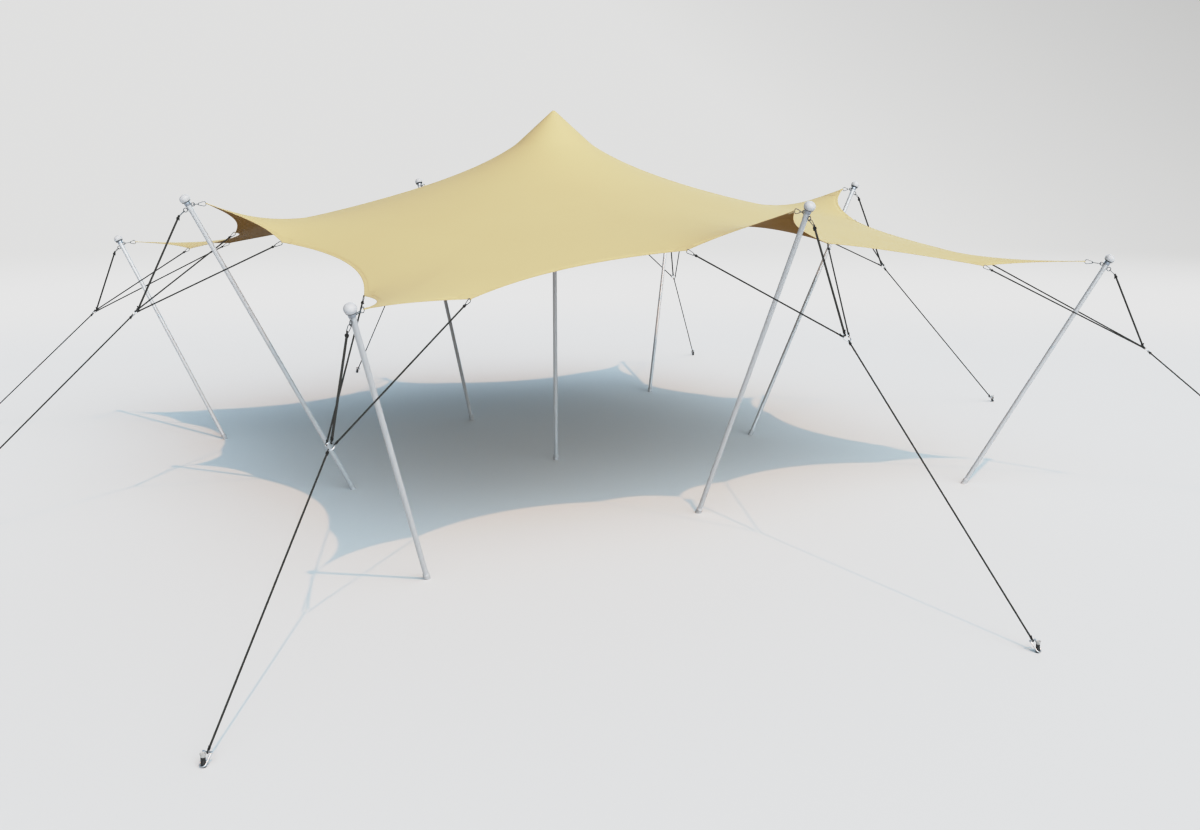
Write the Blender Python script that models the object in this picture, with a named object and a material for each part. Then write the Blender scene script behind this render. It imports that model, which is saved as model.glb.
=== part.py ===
"""Stretch tent, about 10.5 m between opposite pole heads and 5 m high.

A square sheet of stretch fabric is pushed up by one upright pole near its middle and pulled out at
eight tips by poles that lean outwards: four at the corners and four at the middles of the sides.
At every leaning pole the same fittings repeat. A bridle holds the pole head and the two fabric
edges beside it to one steel ring, and a ground rope holds that ring down to a stake.

Metres, +Z up. The origin lies on the ground at the middle of the eight leaning poles.
A station is one leaning pole with its fittings. It is drawn in its own frame and then turned about Z:
X runs outwards, Y runs along the tent's edge, and Z is up.
"""

import math

import bmesh
import bpy
import numpy as np
from mathutils import Matrix, Vector
from mathutils.bvhtree import BVHTree

# Driving dimensions
GAP = 0.0003                    # left between pieces that touch
PEAK_HEIGHT = 5.0               # middle of the fabric's thickness at the peak
PEAK_AT = (-0.16, 0.10)         # the centre pole stands a little off the middle
TUBE_RADIUS = 0.030             # 60 mm tube for every pole
FOOT_RADIUS = 0.0375
FOOT_LENGTH = 0.075
FOOT_CHAMFER = 0.005
BELOW_GROUND = 0.060            # a leaning pole starts this far below the ground, where it is cut level
FABRIC = 0.008                  # thickness of the fabric's solid

# The two kinds of station: distance from the middle, and height, of each point on it
CORNER = {
    "foot": 5.60, "head": 7.222, "head_z": 3.029,
    "tip": 6.95, "tip_z": 3.055,
    "edge": 5.67, "edge_half": 0.58, "edge_z": 3.02,
    "ring": 7.78, "ring_z": 1.936, "stake": 10.10, "scallop": 0.095,
}
SIDE = {
    "foot": 3.32, "head": 5.274, "head_z": 3.827,
    "tip": 5.05, "tip_z": 3.832,
    "edge": 4.44, "edge_half": 1.00, "edge_z": 3.403,
    "ring": 5.98, "ring_z": 2.552, "stake": 8.74, "scallop": 0.145,
}
STATIONS = {
    "front": (SIDE, -90), "front_right": (CORNER, -45), "right": (SIDE, 0), "back_right": (CORNER, 45),
    "back": (SIDE, 90), "back_left": (CORNER, 135), "left": (SIDE, 180), "front_left": (CORNER, -135),
}

# Pole head: distances along the pole from the point that "head" names
SLEEVE_RADIUS = 0.033
SLEEVE_START = -0.090
BAND_RADIUS = 0.038
BAND_START, BAND_END = -0.020, 0.038
DOME_RADIUS = 0.0645
DOME_HEIGHT = 0.108
DOME_PROFILE = (                # height and width as shares of the dome's own
    (0.0, 0.80), (0.10, 0.95), (0.30, 1.0), (0.55, 0.93), (0.80, 0.68), (0.95, 0.34), (1.0, 0.0),
)

# Wire fittings
EYE_RADIUS, EYE_WIRE = 0.018, 0.005
LINK_WIRE = 0.004
MITRE = 1.09                             # how much fatter a faceted wire is at its corners
LINK_SMALL, LINK_BIG = 0.012, 0.021      # end radii of a link, to the middle of its wire
LINK_BITE = 0.001                        # a link joined to its eye lies this far inside it
TIP_LINK_TWIST = math.radians(50)
HEAD_LINK_LENGTH = 0.095
SIDE_LINK_LENGTH = 0.080
OUTER_EYE_DROP = 0.052
RING_RADIUS, RING_WIRE = 0.046, 0.006
RING_SPREAD = math.radians(60)           # side ropes leave the ring this far from the top
RING_BITE = 0.003                        # a rope joined to the ring starts this far from its wire's middle

# Ropes
HEAD_ROPE, SIDE_ROPE, GROUND_ROPE = 0.010, 0.006, 0.006
KNOT_LENGTH = 0.040
KNOT_GROWTH = 0.005                      # how much fatter than its rope a knot is
KNOT_BITE = 0.010                        # a link's end lies this far inside its knot

# Stake
PEG_RADIUS, PEG_HEIGHT, PEG_CHAMFER = 0.018, 0.080, 0.005
BOW_RADIUS, BOW_WIRE, BOW_HEIGHT, BOW_SHIFT = 0.0225, 0.0055, 0.030, 0.004
ARM_LENGTH, ARM_FLARE = 0.095, 0.007
PIN_RADIUS, PIN_HALF = 0.006, 0.040
PIN_HEAD_RADIUS, PIN_HEAD_LENGTH = 0.010, 0.006

# Fabric: shape of the sheet between its tips
CONE_RADIUS = 0.47              # the fabric is a cone inside this radius
FLARE = 0.65                    # how fast it flattens outside it
LONG_SCALLOP = 0.12             # depth of a free edge over its span
LONG_EDGE_PULL, SHORT_EDGE_PULL = 2.5, 3.4
TIP_STEPS, LONG_STEPS = 3, 4    # steps along an edge beside a tip, and between two stations
FREE_RINGS = 9
RING_CROWDING = 1.3

# Cap of the centre pole: heights above its own foot
CAP_HEIGHT, CAP_RADIUS = 0.090, 0.040
CAP_SLEEVE_END, CAP_STEP_END, CAP_BAND_END = 0.030, 0.034, 0.054
CAP_PROFILE = ((0.018, 0.0042), (0.032, 0.0160))   # radius, and drop below the cap's top

# Fineness of the meshes
ROPE_SIDES, HEAD_SIDES, POLE_SIDES = 8, 12, 16
EYE_STEPS, RING_STEPS, BOW_STEPS = 8, 12, 8
SHARP_ANGLE = math.radians(40)
MERGE_WITHIN = 1e-6

OUT, ALONG, UP = Vector((1, 0, 0)), Vector((0, 1, 0)), Vector((0, 0, 1))


def clear_scene():
    for thing in list(bpy.data.objects):
        bpy.data.objects.remove(thing, do_unlink=True)


def paint(name, colour, roughness, metallic):
    material = bpy.data.materials.new(name)
    material.use_nodes = True
    shader = material.node_tree.nodes["Principled BSDF"]
    shader.inputs["Base Color"].default_value = (*colour, 1)
    shader.inputs["Roughness"].default_value = roughness
    shader.inputs["Metallic"].default_value = metallic
    material.diffuse_color = (*colour, 1)
    return material


def add(name, mesh, material, degrees=0.0):
    """A node of the tent, turned into place about Z."""
    node = bpy.data.objects.new(name, mesh)
    bpy.context.scene.collection.objects.link(node)
    node.rotation_euler.z = math.radians(degrees)
    if not mesh.materials:
        mesh.materials.append(material)
    return node


def axes(origin, x, y):
    """Matrix that puts X along x, Y as near y as a right angle allows, at origin."""
    x = x.normalized()
    z = x.cross(y).normalized()
    frame = Matrix((x, z.cross(x), z)).transposed().to_4x4()
    return Matrix.Translation(origin) @ frame


def turned(profile, start, direction, sides):
    """A solid turned about the line from start along direction. profile holds (distance, radius)."""
    bm = bmesh.new()
    points = [bm.verts.new((along, radius, 0)) for along, radius in profile]
    for a, b in zip(points, points[1:]):
        bm.edges.new((a, b))
    bmesh.ops.spin(
        bm, geom=bm.verts[:] + bm.edges[:], cent=(0, 0, 0), axis=(1, 0, 0),
        angle=2 * math.pi, steps=sides, use_merge=True,
    )
    bmesh.ops.remove_doubles(bm, verts=bm.verts[:], dist=MERGE_WITHIN)
    bmesh.ops.recalc_face_normals(bm, faces=bm.faces[:])
    side = ALONG if abs(direction.normalized().dot(ALONG)) < 0.9 else UP
    bm.transform(axes(start, direction, side))
    return finished(bm)


def finished(bm):
    mesh = bpy.data.meshes.new("shape")
    bm.to_mesh(mesh)
    bm.free()
    return mesh


def wire(points, radius, closed):
    """A round wire through the points, with flat ends if it is open."""
    curve = bpy.data.curves.new("wire", "CURVE")
    curve.dimensions = "3D"
    curve.bevel_depth = radius
    curve.bevel_resolution = 1
    curve.use_fill_caps = True
    spline = curve.splines.new("POLY")
    spline.points.add(len(points) - 1)
    for knot, point in zip(spline.points, points):
        knot.co = (*point, 1)
    spline.use_cyclic_u = closed
    holder = bpy.data.objects.new("wire", curve)
    bpy.context.scene.collection.objects.link(holder)
    mesh = evaluated(holder)
    bpy.data.objects.remove(holder, do_unlink=True)
    return mesh


def circle(centre, x, y, radius, steps):
    frame = axes(centre, x, y)
    turns = [2 * math.pi * k / steps for k in range(steps)]
    return [frame @ Vector((radius * math.cos(a), radius * math.sin(a), 0)) for a in turns]


def link(start, end, lateral):
    """A pear-shaped wire link. start is the tip of its small end and end that of its big end."""
    length = (end - start).length
    slope = math.asin((LINK_BIG - LINK_SMALL) / (length - LINK_SMALL - LINK_BIG))
    frame = axes(start, end - start, lateral)
    small = [math.pi / 2 + slope + (math.pi - 2 * slope) * k / 3 for k in range(4)]
    big = [-math.pi / 2 - slope + (math.pi + 2 * slope) * k / 5 for k in range(6)]
    points = [(LINK_SMALL + LINK_SMALL * math.cos(a), LINK_SMALL * math.sin(a), 0) for a in small]
    points += [(length - LINK_BIG + LINK_BIG * math.cos(a), LINK_BIG * math.sin(a), 0) for a in big]
    return wire([frame @ Vector(p) for p in points], LINK_WIRE, closed=True)


def rope(start, end, radius, knot_at_start=False, knot_at_end=False):
    """A straight taut rope, with a fat knot at one or both ends."""
    length = (end - start).length
    fat = radius + KNOT_GROWTH
    taper = KNOT_GROWTH
    profile = [(0, 0), (0, radius)]
    if knot_at_start:
        profile = [(0, 0), (0, fat), (KNOT_LENGTH - taper, fat), (KNOT_LENGTH, radius)]
    if knot_at_end:
        profile += [(length - KNOT_LENGTH, radius), (length - KNOT_LENGTH + taper, fat), (length, fat)]
    else:
        profile.append((length, radius))
    profile.append((length, 0))
    return turned(profile, start, end - start, ROPE_SIDES)


def evaluated(holder):
    bpy.context.view_layer.update()
    depsgraph = bpy.context.evaluated_depsgraph_get()
    return bpy.data.meshes.new_from_object(holder.evaluated_get(depsgraph))


def fused(shapes):
    """One closed body from shapes that overlap."""
    holder = bpy.data.objects.new("fused", shapes[0])
    bpy.context.scene.collection.objects.link(holder)
    guests = []
    for shape in shapes[1:]:
        guest = bpy.data.objects.new("guest", shape)
        bpy.context.scene.collection.objects.link(guest)
        guests.append(guest)
        union = holder.modifiers.new("join", "BOOLEAN")
        union.operation = "UNION"
        union.solver = "EXACT"
        union.object = guest
    mesh = evaluated(holder)
    for thing in guests + [holder]:
        bpy.data.objects.remove(thing, do_unlink=True)
    return rounded(mesh)


def rounded(mesh):
    mesh.shade_smooth()
    mesh.set_sharp_from_angle(angle=SHARP_ANGLE)
    return mesh


class Fabric:
    """The finished fabric, which the links are brought up to until they all but touch it."""

    def __init__(self, mesh):
        self.tree = surface_tree(mesh)

    def clear_of(self, shape, turns):
        """Is the shape clear of the fabric in each of its turned places?"""
        for turn in turns:
            placed = shape.copy()
            placed.transform(turn)
            near = min(self.tree.find_nearest(corner.co)[3] for corner in placed.vertices)
            if near < GAP or self.tree.overlap(surface_tree(placed)):
                return False
        return True

    def seat(self, point, pull, length, lateral, turns):
        """The tip of a link that pulls the fabric at point: the nearest place where it is clear."""
        step = 0
        while True:
            tip = point - pull * (LINK_WIRE + step * GAP)
            if self.clear_of(link(tip - pull * length, tip, lateral), turns):
                return tip
            step += 1


def surface_tree(mesh):
    return BVHTree.FromPolygons([v.co.copy() for v in mesh.vertices], [p.vertices[:] for p in mesh.polygons])


class Station:
    """The points of one station, from which its five pieces are drawn."""

    def __init__(self, kind):
        same = [degrees for other, degrees in STATIONS.values() if other is kind]
        self.turns = [Matrix.Rotation(math.radians(degrees), 4, "Z") for degrees in same]
        self.foot = Vector((kind["foot"], 0, 0))
        self.head = Vector((kind["head"], 0, kind["head_z"]))
        self.axis = (self.head - self.foot).normalized()
        self.outward = self.axis.cross(ALONG).normalized()
        if self.outward.x < 0:
            self.outward = -self.outward
        self.tip = Vector((kind["tip"], 0, kind["tip_z"]))
        self.edges = [Vector((kind["edge"], side * kind["edge_half"], kind["edge_z"])) for side in (-1, 1)]
        self.ring = Vector((kind["ring"], 0, kind["ring_z"]))
        self.bow = Vector((kind["stake"], 0, BOW_HEIGHT))
        self.ground_pull = (self.ring - self.bow).normalized()
        self.inner_eye = self.head - OUT * (BAND_RADIUS / self.axis.z + EYE_RADIUS)
        self.outer_eye = self.head - self.axis * OUTER_EYE_DROP
        self.outer_eye += self.outward * (SLEEVE_RADIUS + EYE_RADIUS + EYE_WIRE / 2)
        self.ring_top = self.ring + self.ground_pull * RING_RADIUS
        self.head_pull = (self.outer_eye - self.ring_top).normalized()

    def pole(self):
        tube_end = (self.head - self.foot).length + SLEEVE_START - GAP
        mesh = turned(tube_profile(-BELOW_GROUND, tube_end), self.foot, self.axis, POLE_SIDES)
        bm = bmesh.new()
        bm.from_mesh(mesh)
        geometry = bm.verts[:] + bm.edges[:] + bm.faces[:]
        cut = bmesh.ops.bisect_plane(bm, geom=geometry, plane_co=(0, 0, 0), plane_no=UP, clear_inner=True)
        rim = [item for item in cut["geom_cut"] if isinstance(item, bmesh.types.BMEdge)]
        bmesh.ops.contextual_create(bm, geom=rim)
        return rounded(finished(bm))

    def pole_head(self, fabric):
        turned_part = turned(head_profile(), self.head, self.axis, HEAD_SIDES)
        inner_circle = circle(self.inner_eye, OUT, UP, EYE_RADIUS, EYE_STEPS)
        outer_circle = circle(self.outer_eye, -self.head_pull, OUT, EYE_RADIUS, EYE_STEPS)
        inner_eye = wire(inner_circle, EYE_WIRE, closed=True)
        outer_eye = wire(outer_circle, EYE_WIRE, closed=True)
        near = self.inner_eye - OUT * (EYE_RADIUS - EYE_WIRE - LINK_WIRE + LINK_BITE)
        pull = (self.tip - near).normalized()
        upright = pull.cross(ALONG).normalized()
        lateral = upright * math.cos(TIP_LINK_TWIST) + ALONG * math.sin(TIP_LINK_TWIST)
        far = fabric.seat(self.tip, pull, (self.tip - near).length, lateral, self.turns)
        return fused([turned_part, inner_eye, outer_eye, link(near, far, lateral)])

    def bridle(self, fabric):
        frame = axes(self.ring, self.ground_pull, ALONG)
        around = circle(self.ring, self.ground_pull, ALONG, RING_RADIUS, RING_STEPS)
        shapes = [wire(around, RING_WIRE, closed=True)]
        pull = self.head_pull
        eye_end = self.outer_eye - pull * (EYE_RADIUS - MITRE * (EYE_WIRE + LINK_WIRE) - GAP)
        rope_end = eye_end - pull * (HEAD_LINK_LENGTH - KNOT_BITE)
        shapes.append(rope(self.ring_top + pull * RING_BITE, rope_end, HEAD_ROPE, knot_at_end=True))
        shapes.append(link(eye_end, eye_end - pull * HEAD_LINK_LENGTH, ALONG))
        for side, edge in zip((-1, 1), self.edges):
            turn = side * RING_SPREAD
            leave = frame @ Vector((RING_RADIUS * math.cos(turn), RING_RADIUS * math.sin(turn), 0))
            pull = (edge - leave).normalized()
            lateral = pull.cross(UP).cross(pull).normalized()
            far = fabric.seat(edge, pull, SIDE_LINK_LENGTH, lateral, self.turns)
            near = far - pull * SIDE_LINK_LENGTH
            start, end = leave + pull * RING_BITE, near + pull * KNOT_BITE
            shapes.append(rope(start, end, SIDE_ROPE, knot_at_end=True))
            shapes.append(link(near, far, lateral))
        return fused(shapes)

    def ground_rope(self):
        top = self.ring - self.ground_pull * (RING_RADIUS + RING_WIRE + GAP)
        bottom = self.pin() + self.ground_pull * (PIN_RADIUS + GAP)
        return rounded(rope(bottom, top, GROUND_ROPE, knot_at_start=True, knot_at_end=True))

    def pin(self):
        return self.bow + self.ground_pull * ARM_LENGTH

    def stake(self):
        peg_axis = Vector((self.bow.x, 0, 0))
        profile = [
            (0, 0), (0, PEG_RADIUS), (PEG_HEIGHT - PEG_CHAMFER, PEG_RADIUS),
            (PEG_HEIGHT, PEG_RADIUS - PEG_CHAMFER), (PEG_HEIGHT, 0),
        ]
        peg = turned(profile, peg_axis, UP, HEAD_SIDES)
        frame = axes(self.bow - self.ground_pull * BOW_SHIFT, self.ground_pull, ALONG)
        turns = [math.pi / 2 + math.pi * k / BOW_STEPS for k in range(BOW_STEPS + 1)]
        bow = [(BOW_RADIUS * math.cos(a), BOW_RADIUS * math.sin(a), 0) for a in turns]
        reach = ARM_LENGTH + BOW_SHIFT
        wide = BOW_RADIUS + ARM_FLARE
        outline = [(reach + PIN_RADIUS, wide, 0)] + bow + [(reach + PIN_RADIUS, -wide, 0)]
        shackle = wire([frame @ Vector(p) for p in outline], BOW_WIRE, closed=False)
        pin_start = self.pin() - ALONG * PIN_HALF
        pin_profile = [
            (0, 0), (0, PIN_HEAD_RADIUS), (PIN_HEAD_LENGTH, PIN_HEAD_RADIUS),
            (PIN_HEAD_LENGTH, PIN_RADIUS), (2 * PIN_HALF, PIN_RADIUS), (2 * PIN_HALF, 0),
        ]
        pin = turned(pin_profile, pin_start, ALONG, ROPE_SIDES)
        return fused([peg, shackle, pin])


def tube_profile(start, end):
    """A pole's foot and tube, as (distance along the pole, radius)."""
    return [
        (start, 0), (start, FOOT_RADIUS), (FOOT_LENGTH, FOOT_RADIUS),
        (FOOT_LENGTH + FOOT_CHAMFER, TUBE_RADIUS), (end, TUBE_RADIUS), (end, 0),
    ]


def head_profile():
    """Sleeve, band and domed cap of a pole head, as (distance along the pole, radius)."""
    sleeve = [(SLEEVE_START, 0), (SLEEVE_START, SLEEVE_RADIUS), (BAND_START, SLEEVE_RADIUS)]
    band = [(BAND_START, BAND_RADIUS), (BAND_END, BAND_RADIUS)]
    dome = [(BAND_END + DOME_HEIGHT * height, DOME_RADIUS * width) for height, width in DOME_PROFILE]
    return sleeve + band + dome


def rim_of_fabric():
    """Points round the fabric's edge: (position, is it held, pull of the edge that follows it)."""
    held = []
    for kind, degrees in STATIONS.values():
        station = Station(kind)
        turn = Matrix.Rotation(math.radians(degrees), 4, "Z")
        near, far = (turn @ edge for edge in station.edges)
        tip = turn @ station.tip
        held += [
            (near, TIP_STEPS, kind["scallop"], SHORT_EDGE_PULL),
            (tip, TIP_STEPS, kind["scallop"], SHORT_EDGE_PULL),
            (far, LONG_STEPS, LONG_SCALLOP, LONG_EDGE_PULL),
        ]
    rim = []
    for (start, steps, depth, pull), (end, *_) in zip(held, held[1:] + held[:1]):
        span = end - start
        inward = Vector((-span.y, span.x, 0))
        for k in range(steps):
            along = k / steps
            point = start + span * along + inward * depth * 4 * along * (1 - along)
            rim.append((point, k == 0, pull))
    return rim


def fabric_points(rim):
    """Middle surface of the fabric: the peak, then rings of points out to the rim.

    In plan the points lie on straight rays. The heights are those of a sheet in tension, which
    pulls harder near the peak than far from it, with a belt sewn into its edge.
    """
    columns = len(rim)
    peak = np.array([*PEAK_AT, PEAK_HEIGHT])
    points = [peak]
    for radius, drop in CAP_PROFILE:
        for point, _, _ in rim:
            ray = np.array([*point.xy]) - peak[:2]
            ray = ray / np.linalg.norm(ray) * radius
            points.append(peak + np.array([*ray, -drop]))
    for ring in range(1, FREE_RINGS + 1):
        along = (ring / FREE_RINGS) ** RING_CROWDING
        for k, (point, _, _) in enumerate(rim):
            inner = points[1 + (len(CAP_PROFILE) - 1) * columns + k]
            points.append(inner + (np.array(point) - inner) * along)
    points = np.array(points)
    rings = len(CAP_PROFILE) + FREE_RINGS
    fixed = np.zeros(len(points), bool)
    fixed[: 1 + len(CAP_PROFILE) * columns] = True
    fixed[1 + (rings - 1) * columns:] = [is_held for _, is_held, _ in rim]

    pull = np.zeros((len(points), len(points)))
    plan = points[:, :2]
    for a, b, c in fabric_triangles(columns, rings):
        centre = (plan[a] + plan[b] + plan[c]) / 3
        reach = np.linalg.norm(centre - peak[:2]) / CONE_RADIUS
        stress = 1 / reach if reach < 1 else reach ** (FLARE - 1)
        for i, j, k in ((a, b, c), (b, c, a), (c, a, b)):
            u, v = plan[i] - plan[k], plan[j] - plan[k]
            share = 0.5 * stress * (u @ v) / abs(u[0] * v[1] - u[1] * v[0])
            pull[i, j] += share
            pull[j, i] += share
    first = 1 + (rings - 1) * columns
    for k, (_, _, belt) in enumerate(rim):
        i, j = first + k, first + (k + 1) % columns
        share = belt / np.linalg.norm(plan[i] - plan[j])
        pull[i, j] += share
        pull[j, i] += share
    balance = np.diag(pull.sum(axis=1)) - pull
    free = ~fixed
    load = -balance[np.ix_(free, fixed)] @ points[fixed, 2]
    points[free, 2] = np.linalg.solve(balance[np.ix_(free, free)], load)
    return points, rings


def fabric_faces(columns, rings):
    """Corners of each face of the middle surface: a fan at the peak, then rings of quads."""
    faces = []
    for k in range(columns):
        faces.append((0, 1 + k, 1 + (k + 1) % columns))
    for ring in range(1, rings):
        inner, outer = 1 + (ring - 1) * columns, 1 + ring * columns
        for k in range(columns):
            following = (k + 1) % columns
            faces.append((inner + k, outer + k, outer + following, inner + following))
    return faces


def fabric_triangles(columns, rings):
    for face in fabric_faces(columns, rings):
        if len(face) == 3:
            yield face
        else:
            yield face[0], face[1], face[2]
            yield face[0], face[2], face[3]


def canopy_mesh():
    rim = rim_of_fabric()
    points, rings = fabric_points(rim)
    bm = bmesh.new()
    corners = [bm.verts.new(Vector(p) + UP * FABRIC / 2) for p in points]
    for face in fabric_faces(len(rim), rings):
        bm.faces.new([corners[i] for i in face])
    bmesh.ops.triangulate(bm, faces=bm.faces[:])
    lower = bmesh.ops.extrude_face_region(bm, geom=bm.faces[:], use_keep_orig=True)["geom"]
    lower = [item for item in lower if isinstance(item, bmesh.types.BMVert)]
    bmesh.ops.translate(bm, verts=lower, vec=-UP * FABRIC)
    bmesh.ops.recalc_face_normals(bm, faces=bm.faces[:])
    return rounded(finished(bm))


def centre_pole_meshes():
    """The upright pole, and the rounded cap on it that the fabric's peak rests on."""
    top = PEAK_HEIGHT - FABRIC / 2 - GAP
    foot = Vector((*PEAK_AT, 0))
    tube_end = top - CAP_HEIGHT - GAP
    tube = turned(tube_profile(0, tube_end), foot, UP, POLE_SIDES)
    profile = [
        (0, 0), (0, SLEEVE_RADIUS), (CAP_SLEEVE_END, SLEEVE_RADIUS),
        (CAP_STEP_END, CAP_RADIUS), (CAP_BAND_END, CAP_RADIUS),
    ]
    profile += [(CAP_HEIGHT - drop, radius) for radius, drop in reversed(CAP_PROFILE)]
    profile.append((CAP_HEIGHT, 0))
    cap = turned(profile, foot + UP * (tube_end + GAP), UP, POLE_SIDES)
    return rounded(tube), rounded(cap)


def build():
    clear_scene()
    cloth = paint("canopy_fabric", (0.70, 0.60, 0.35), 0.85, 0.0)
    metal = paint("pole_metal", (0.55, 0.57, 0.60), 0.40, 0.8)
    white = paint("white_plastic", (0.85, 0.85, 0.85), 0.45, 0.0)
    cord = paint("dark_rope", (0.035, 0.035, 0.032), 0.85, 0.0)
    steel = paint("stake_steel", (0.30, 0.30, 0.30), 0.45, 0.9)

    sheet = canopy_mesh()
    add("canopy", sheet, cloth)
    fabric = Fabric(sheet)
    tube, cap = centre_pole_meshes()
    add("centre_pole", tube, metal)
    add("centre_pole_cap", cap, white)

    drawn = {}
    for name, (kind, degrees) in STATIONS.items():
        if id(kind) not in drawn:
            station = Station(kind)
            drawn[id(kind)] = (
                ("pole", station.pole(), metal),
                ("pole_head", station.pole_head(fabric), white),
                ("bridle", station.bridle(fabric), cord),
                ("ground_rope", station.ground_rope(), cord),
                ("stake", station.stake(), steel),
            )
        for piece, mesh, material in drawn[id(kind)]:
            add(f"{name}_{piece}", mesh, material, degrees)


build()
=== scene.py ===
# %% [markdown]
# A stretch tent is one sheet of knitted fabric, pushed up by a pole in the middle and pulled out
# at its edge by leaning poles, ropes and stakes. The imported model already has every piece in its
# place. This lesson draws each of them again with the finish and the small parts of the real
# thing: rope eyes and whippings, welded rings, wire links, turned caps, a sewn hem.
#
# Everything below is in metres.

# %% Load the imported model
import math

import bmesh
import bpy
import numpy as np
from mathutils import Matrix, Vector
from mathutils.bvhtree import BVHTree


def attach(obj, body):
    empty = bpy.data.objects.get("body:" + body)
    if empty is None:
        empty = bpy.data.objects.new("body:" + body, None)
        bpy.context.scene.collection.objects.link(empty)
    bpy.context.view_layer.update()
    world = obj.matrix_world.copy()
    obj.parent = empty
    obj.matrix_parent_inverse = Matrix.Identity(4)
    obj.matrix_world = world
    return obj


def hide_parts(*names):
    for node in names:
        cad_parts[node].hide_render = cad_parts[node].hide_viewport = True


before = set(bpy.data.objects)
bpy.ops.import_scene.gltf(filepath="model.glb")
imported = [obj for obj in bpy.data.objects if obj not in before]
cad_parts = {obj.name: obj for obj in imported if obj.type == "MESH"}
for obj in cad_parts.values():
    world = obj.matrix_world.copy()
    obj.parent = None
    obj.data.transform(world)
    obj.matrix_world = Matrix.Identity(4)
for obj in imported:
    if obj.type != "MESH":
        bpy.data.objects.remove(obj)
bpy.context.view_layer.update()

# %% [markdown]
# The photograph was taken from the tent's left front corner, a little below the height of the
# peak. Its lens and place were worked out from the feet, the heads and the stakes, so the render
# can be laid over it. The camera comes first, because everything after it is judged through it.

# %% Set the camera
def place_object(name, data):
    """A new object that holds data, linked to the scene."""
    made = bpy.data.objects.new(name, data)
    bpy.context.scene.collection.objects.link(made)
    return made


camera_data = bpy.data.cameras.new("camera")
camera_data.sensor_width = 36
camera_data.lens = 39.75
camera_data.clip_end = 900
camera = place_object("camera", camera_data)
camera.location = (-9.263, -16.517, 4.563)
camera.rotation_euler = (math.radians(78.377), 0, math.radians(-30.671))
bpy.context.scene.camera = camera
print("camera stands", round(camera.location.length, 1), "m from the middle of the tent")

# %% [markdown]
# A camera presses the brightest tones together, so that a white cap, a sunlit ground and a pale
# backdrop come out nearly alike. A curve does the same here. It leaves everything up to a middle
# grey as it is, and above that it bends towards a white that it never quite reaches.

# %% Press the highlights together
BEND_FROM, PAPER_WHITE, BRIGHTEST = 0.52, 0.94, 3.0
CURVE_STEPS = (0, 0.2, 0.4, 0.7, 1, 1.4, 1.8, 2.4, 3.2, 4.5)


def press_highlights():
    room = PAPER_WHITE - BEND_FROM
    view = bpy.context.scene.view_settings
    view.view_transform = "Standard"
    view.use_curve_mapping = True
    view.curve_mapping.white_level = (BRIGHTEST,) * 3
    curve = view.curve_mapping.curves[3]
    for light in (BEND_FROM + room * step for step in CURVE_STEPS):
        shown = BEND_FROM + room * (1 - math.exp(-(light - BEND_FROM) / room))
        curve.points.new(light / BRIGHTEST, shown)
    curve.points[0].location = (0, 0)
    curve.points[-1].location = (1, PAPER_WHITE)
    for point in curve.points:
        point.handle_type = "VECTOR"
    view.curve_mapping.update()


press_highlights()

# %% [markdown]
# Colours are written the way a paint program gives them, as sRGB hex. A shader works in linear
# light, so one function turns them over. Another adds one node to a material with its settings
# and its inputs, which keeps each recipe short enough to read in one go. An input is given a
# number, a colour, or the node that feeds it.

# %% Helpers for materials
def linear(code):
    """Linear red, green, blue and alpha of an sRGB hex colour."""
    shares = [int(code[k:k + 2], 16) / 255 for k in (1, 3, 5)]
    light = [s / 12.92 if s <= 0.04045 else ((s + 0.055) / 1.055) ** 2.4 for s in shares]
    return (*light, 1)


def feed(node, inputs):
    """Set a node's inputs. Another node gives its first output that is in use."""
    for socket, value in inputs.items():
        if isinstance(value, bpy.types.Node):
            value = next(output for output in value.outputs if output.enabled)
        if isinstance(value, bpy.types.NodeSocket):
            node.id_data.links.new(value, node.inputs[socket])
        else:
            node.inputs[socket].default_value = value


def add_node(tree, kind, inputs=None, **settings):
    """A shader node of that kind."""
    made = tree.nodes.new("ShaderNode" + kind)
    for name, value in settings.items():
        setattr(made, name, value)
    feed(made, inputs or {})
    return made


# %% [markdown]
# The tent stands in front of a studio backdrop, which is pale all round and darkens only towards
# the photograph's top right. The ground runs into it some fifty metres away. One function gives the
# backdrop's tone in any direction, so that the sky and the far end of the ground agree and no
# horizon shows.

# %% Lay the ground and paint the backdrop
GROUND_RADIUS = 500
GROUND_COLOUR, FAR_GROUND_LIGHT = (0.62, 0.62, 0.62, 1), 0.94
FAR_GROUND_FADE, BACKDROP_FADE = (30, 41), (43, 63)
BACKDROP_LIGHT, BACKDROP_DIM = 0.835, 0.575
BACKDROP_COLOUR = (1, 1, 0.99, 1)
CAMERA_TURN = camera.rotation_euler.to_matrix()
DIM_WAY, DIM_FROM, DIM_TO = CAMERA_TURN @ Vector((0.6, 0.8, 0)), 0.24, 0.46
AHEAD, AHEAD_FROM, AHEAD_TO = CAMERA_TURN @ Vector((0, 0, -1)), 0.72, 0.86


def backdrop_tone(tree, look):
    """How bright the backdrop is in the direction look, which is a unit vector."""
    shares = []
    for direction, start, end in ((DIM_WAY, DIM_FROM, DIM_TO), (AHEAD, AHEAD_FROM, AHEAD_TO)):
        facing = add_node(tree, "VectorMath", {0: look, 1: direction}, operation="DOT_PRODUCT")
        span = {"Value": facing, "From Min": start, "From Max": end}
        shares.append(add_node(tree, "MapRange", span))
    dim = add_node(tree, "Math", {0: shares[0], 1: shares[1]}, operation="MULTIPLY")
    tones = {"Value": dim, "To Min": BACKDROP_LIGHT, "To Max": BACKDROP_DIM}
    return add_node(tree, "MapRange", tones)


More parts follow.
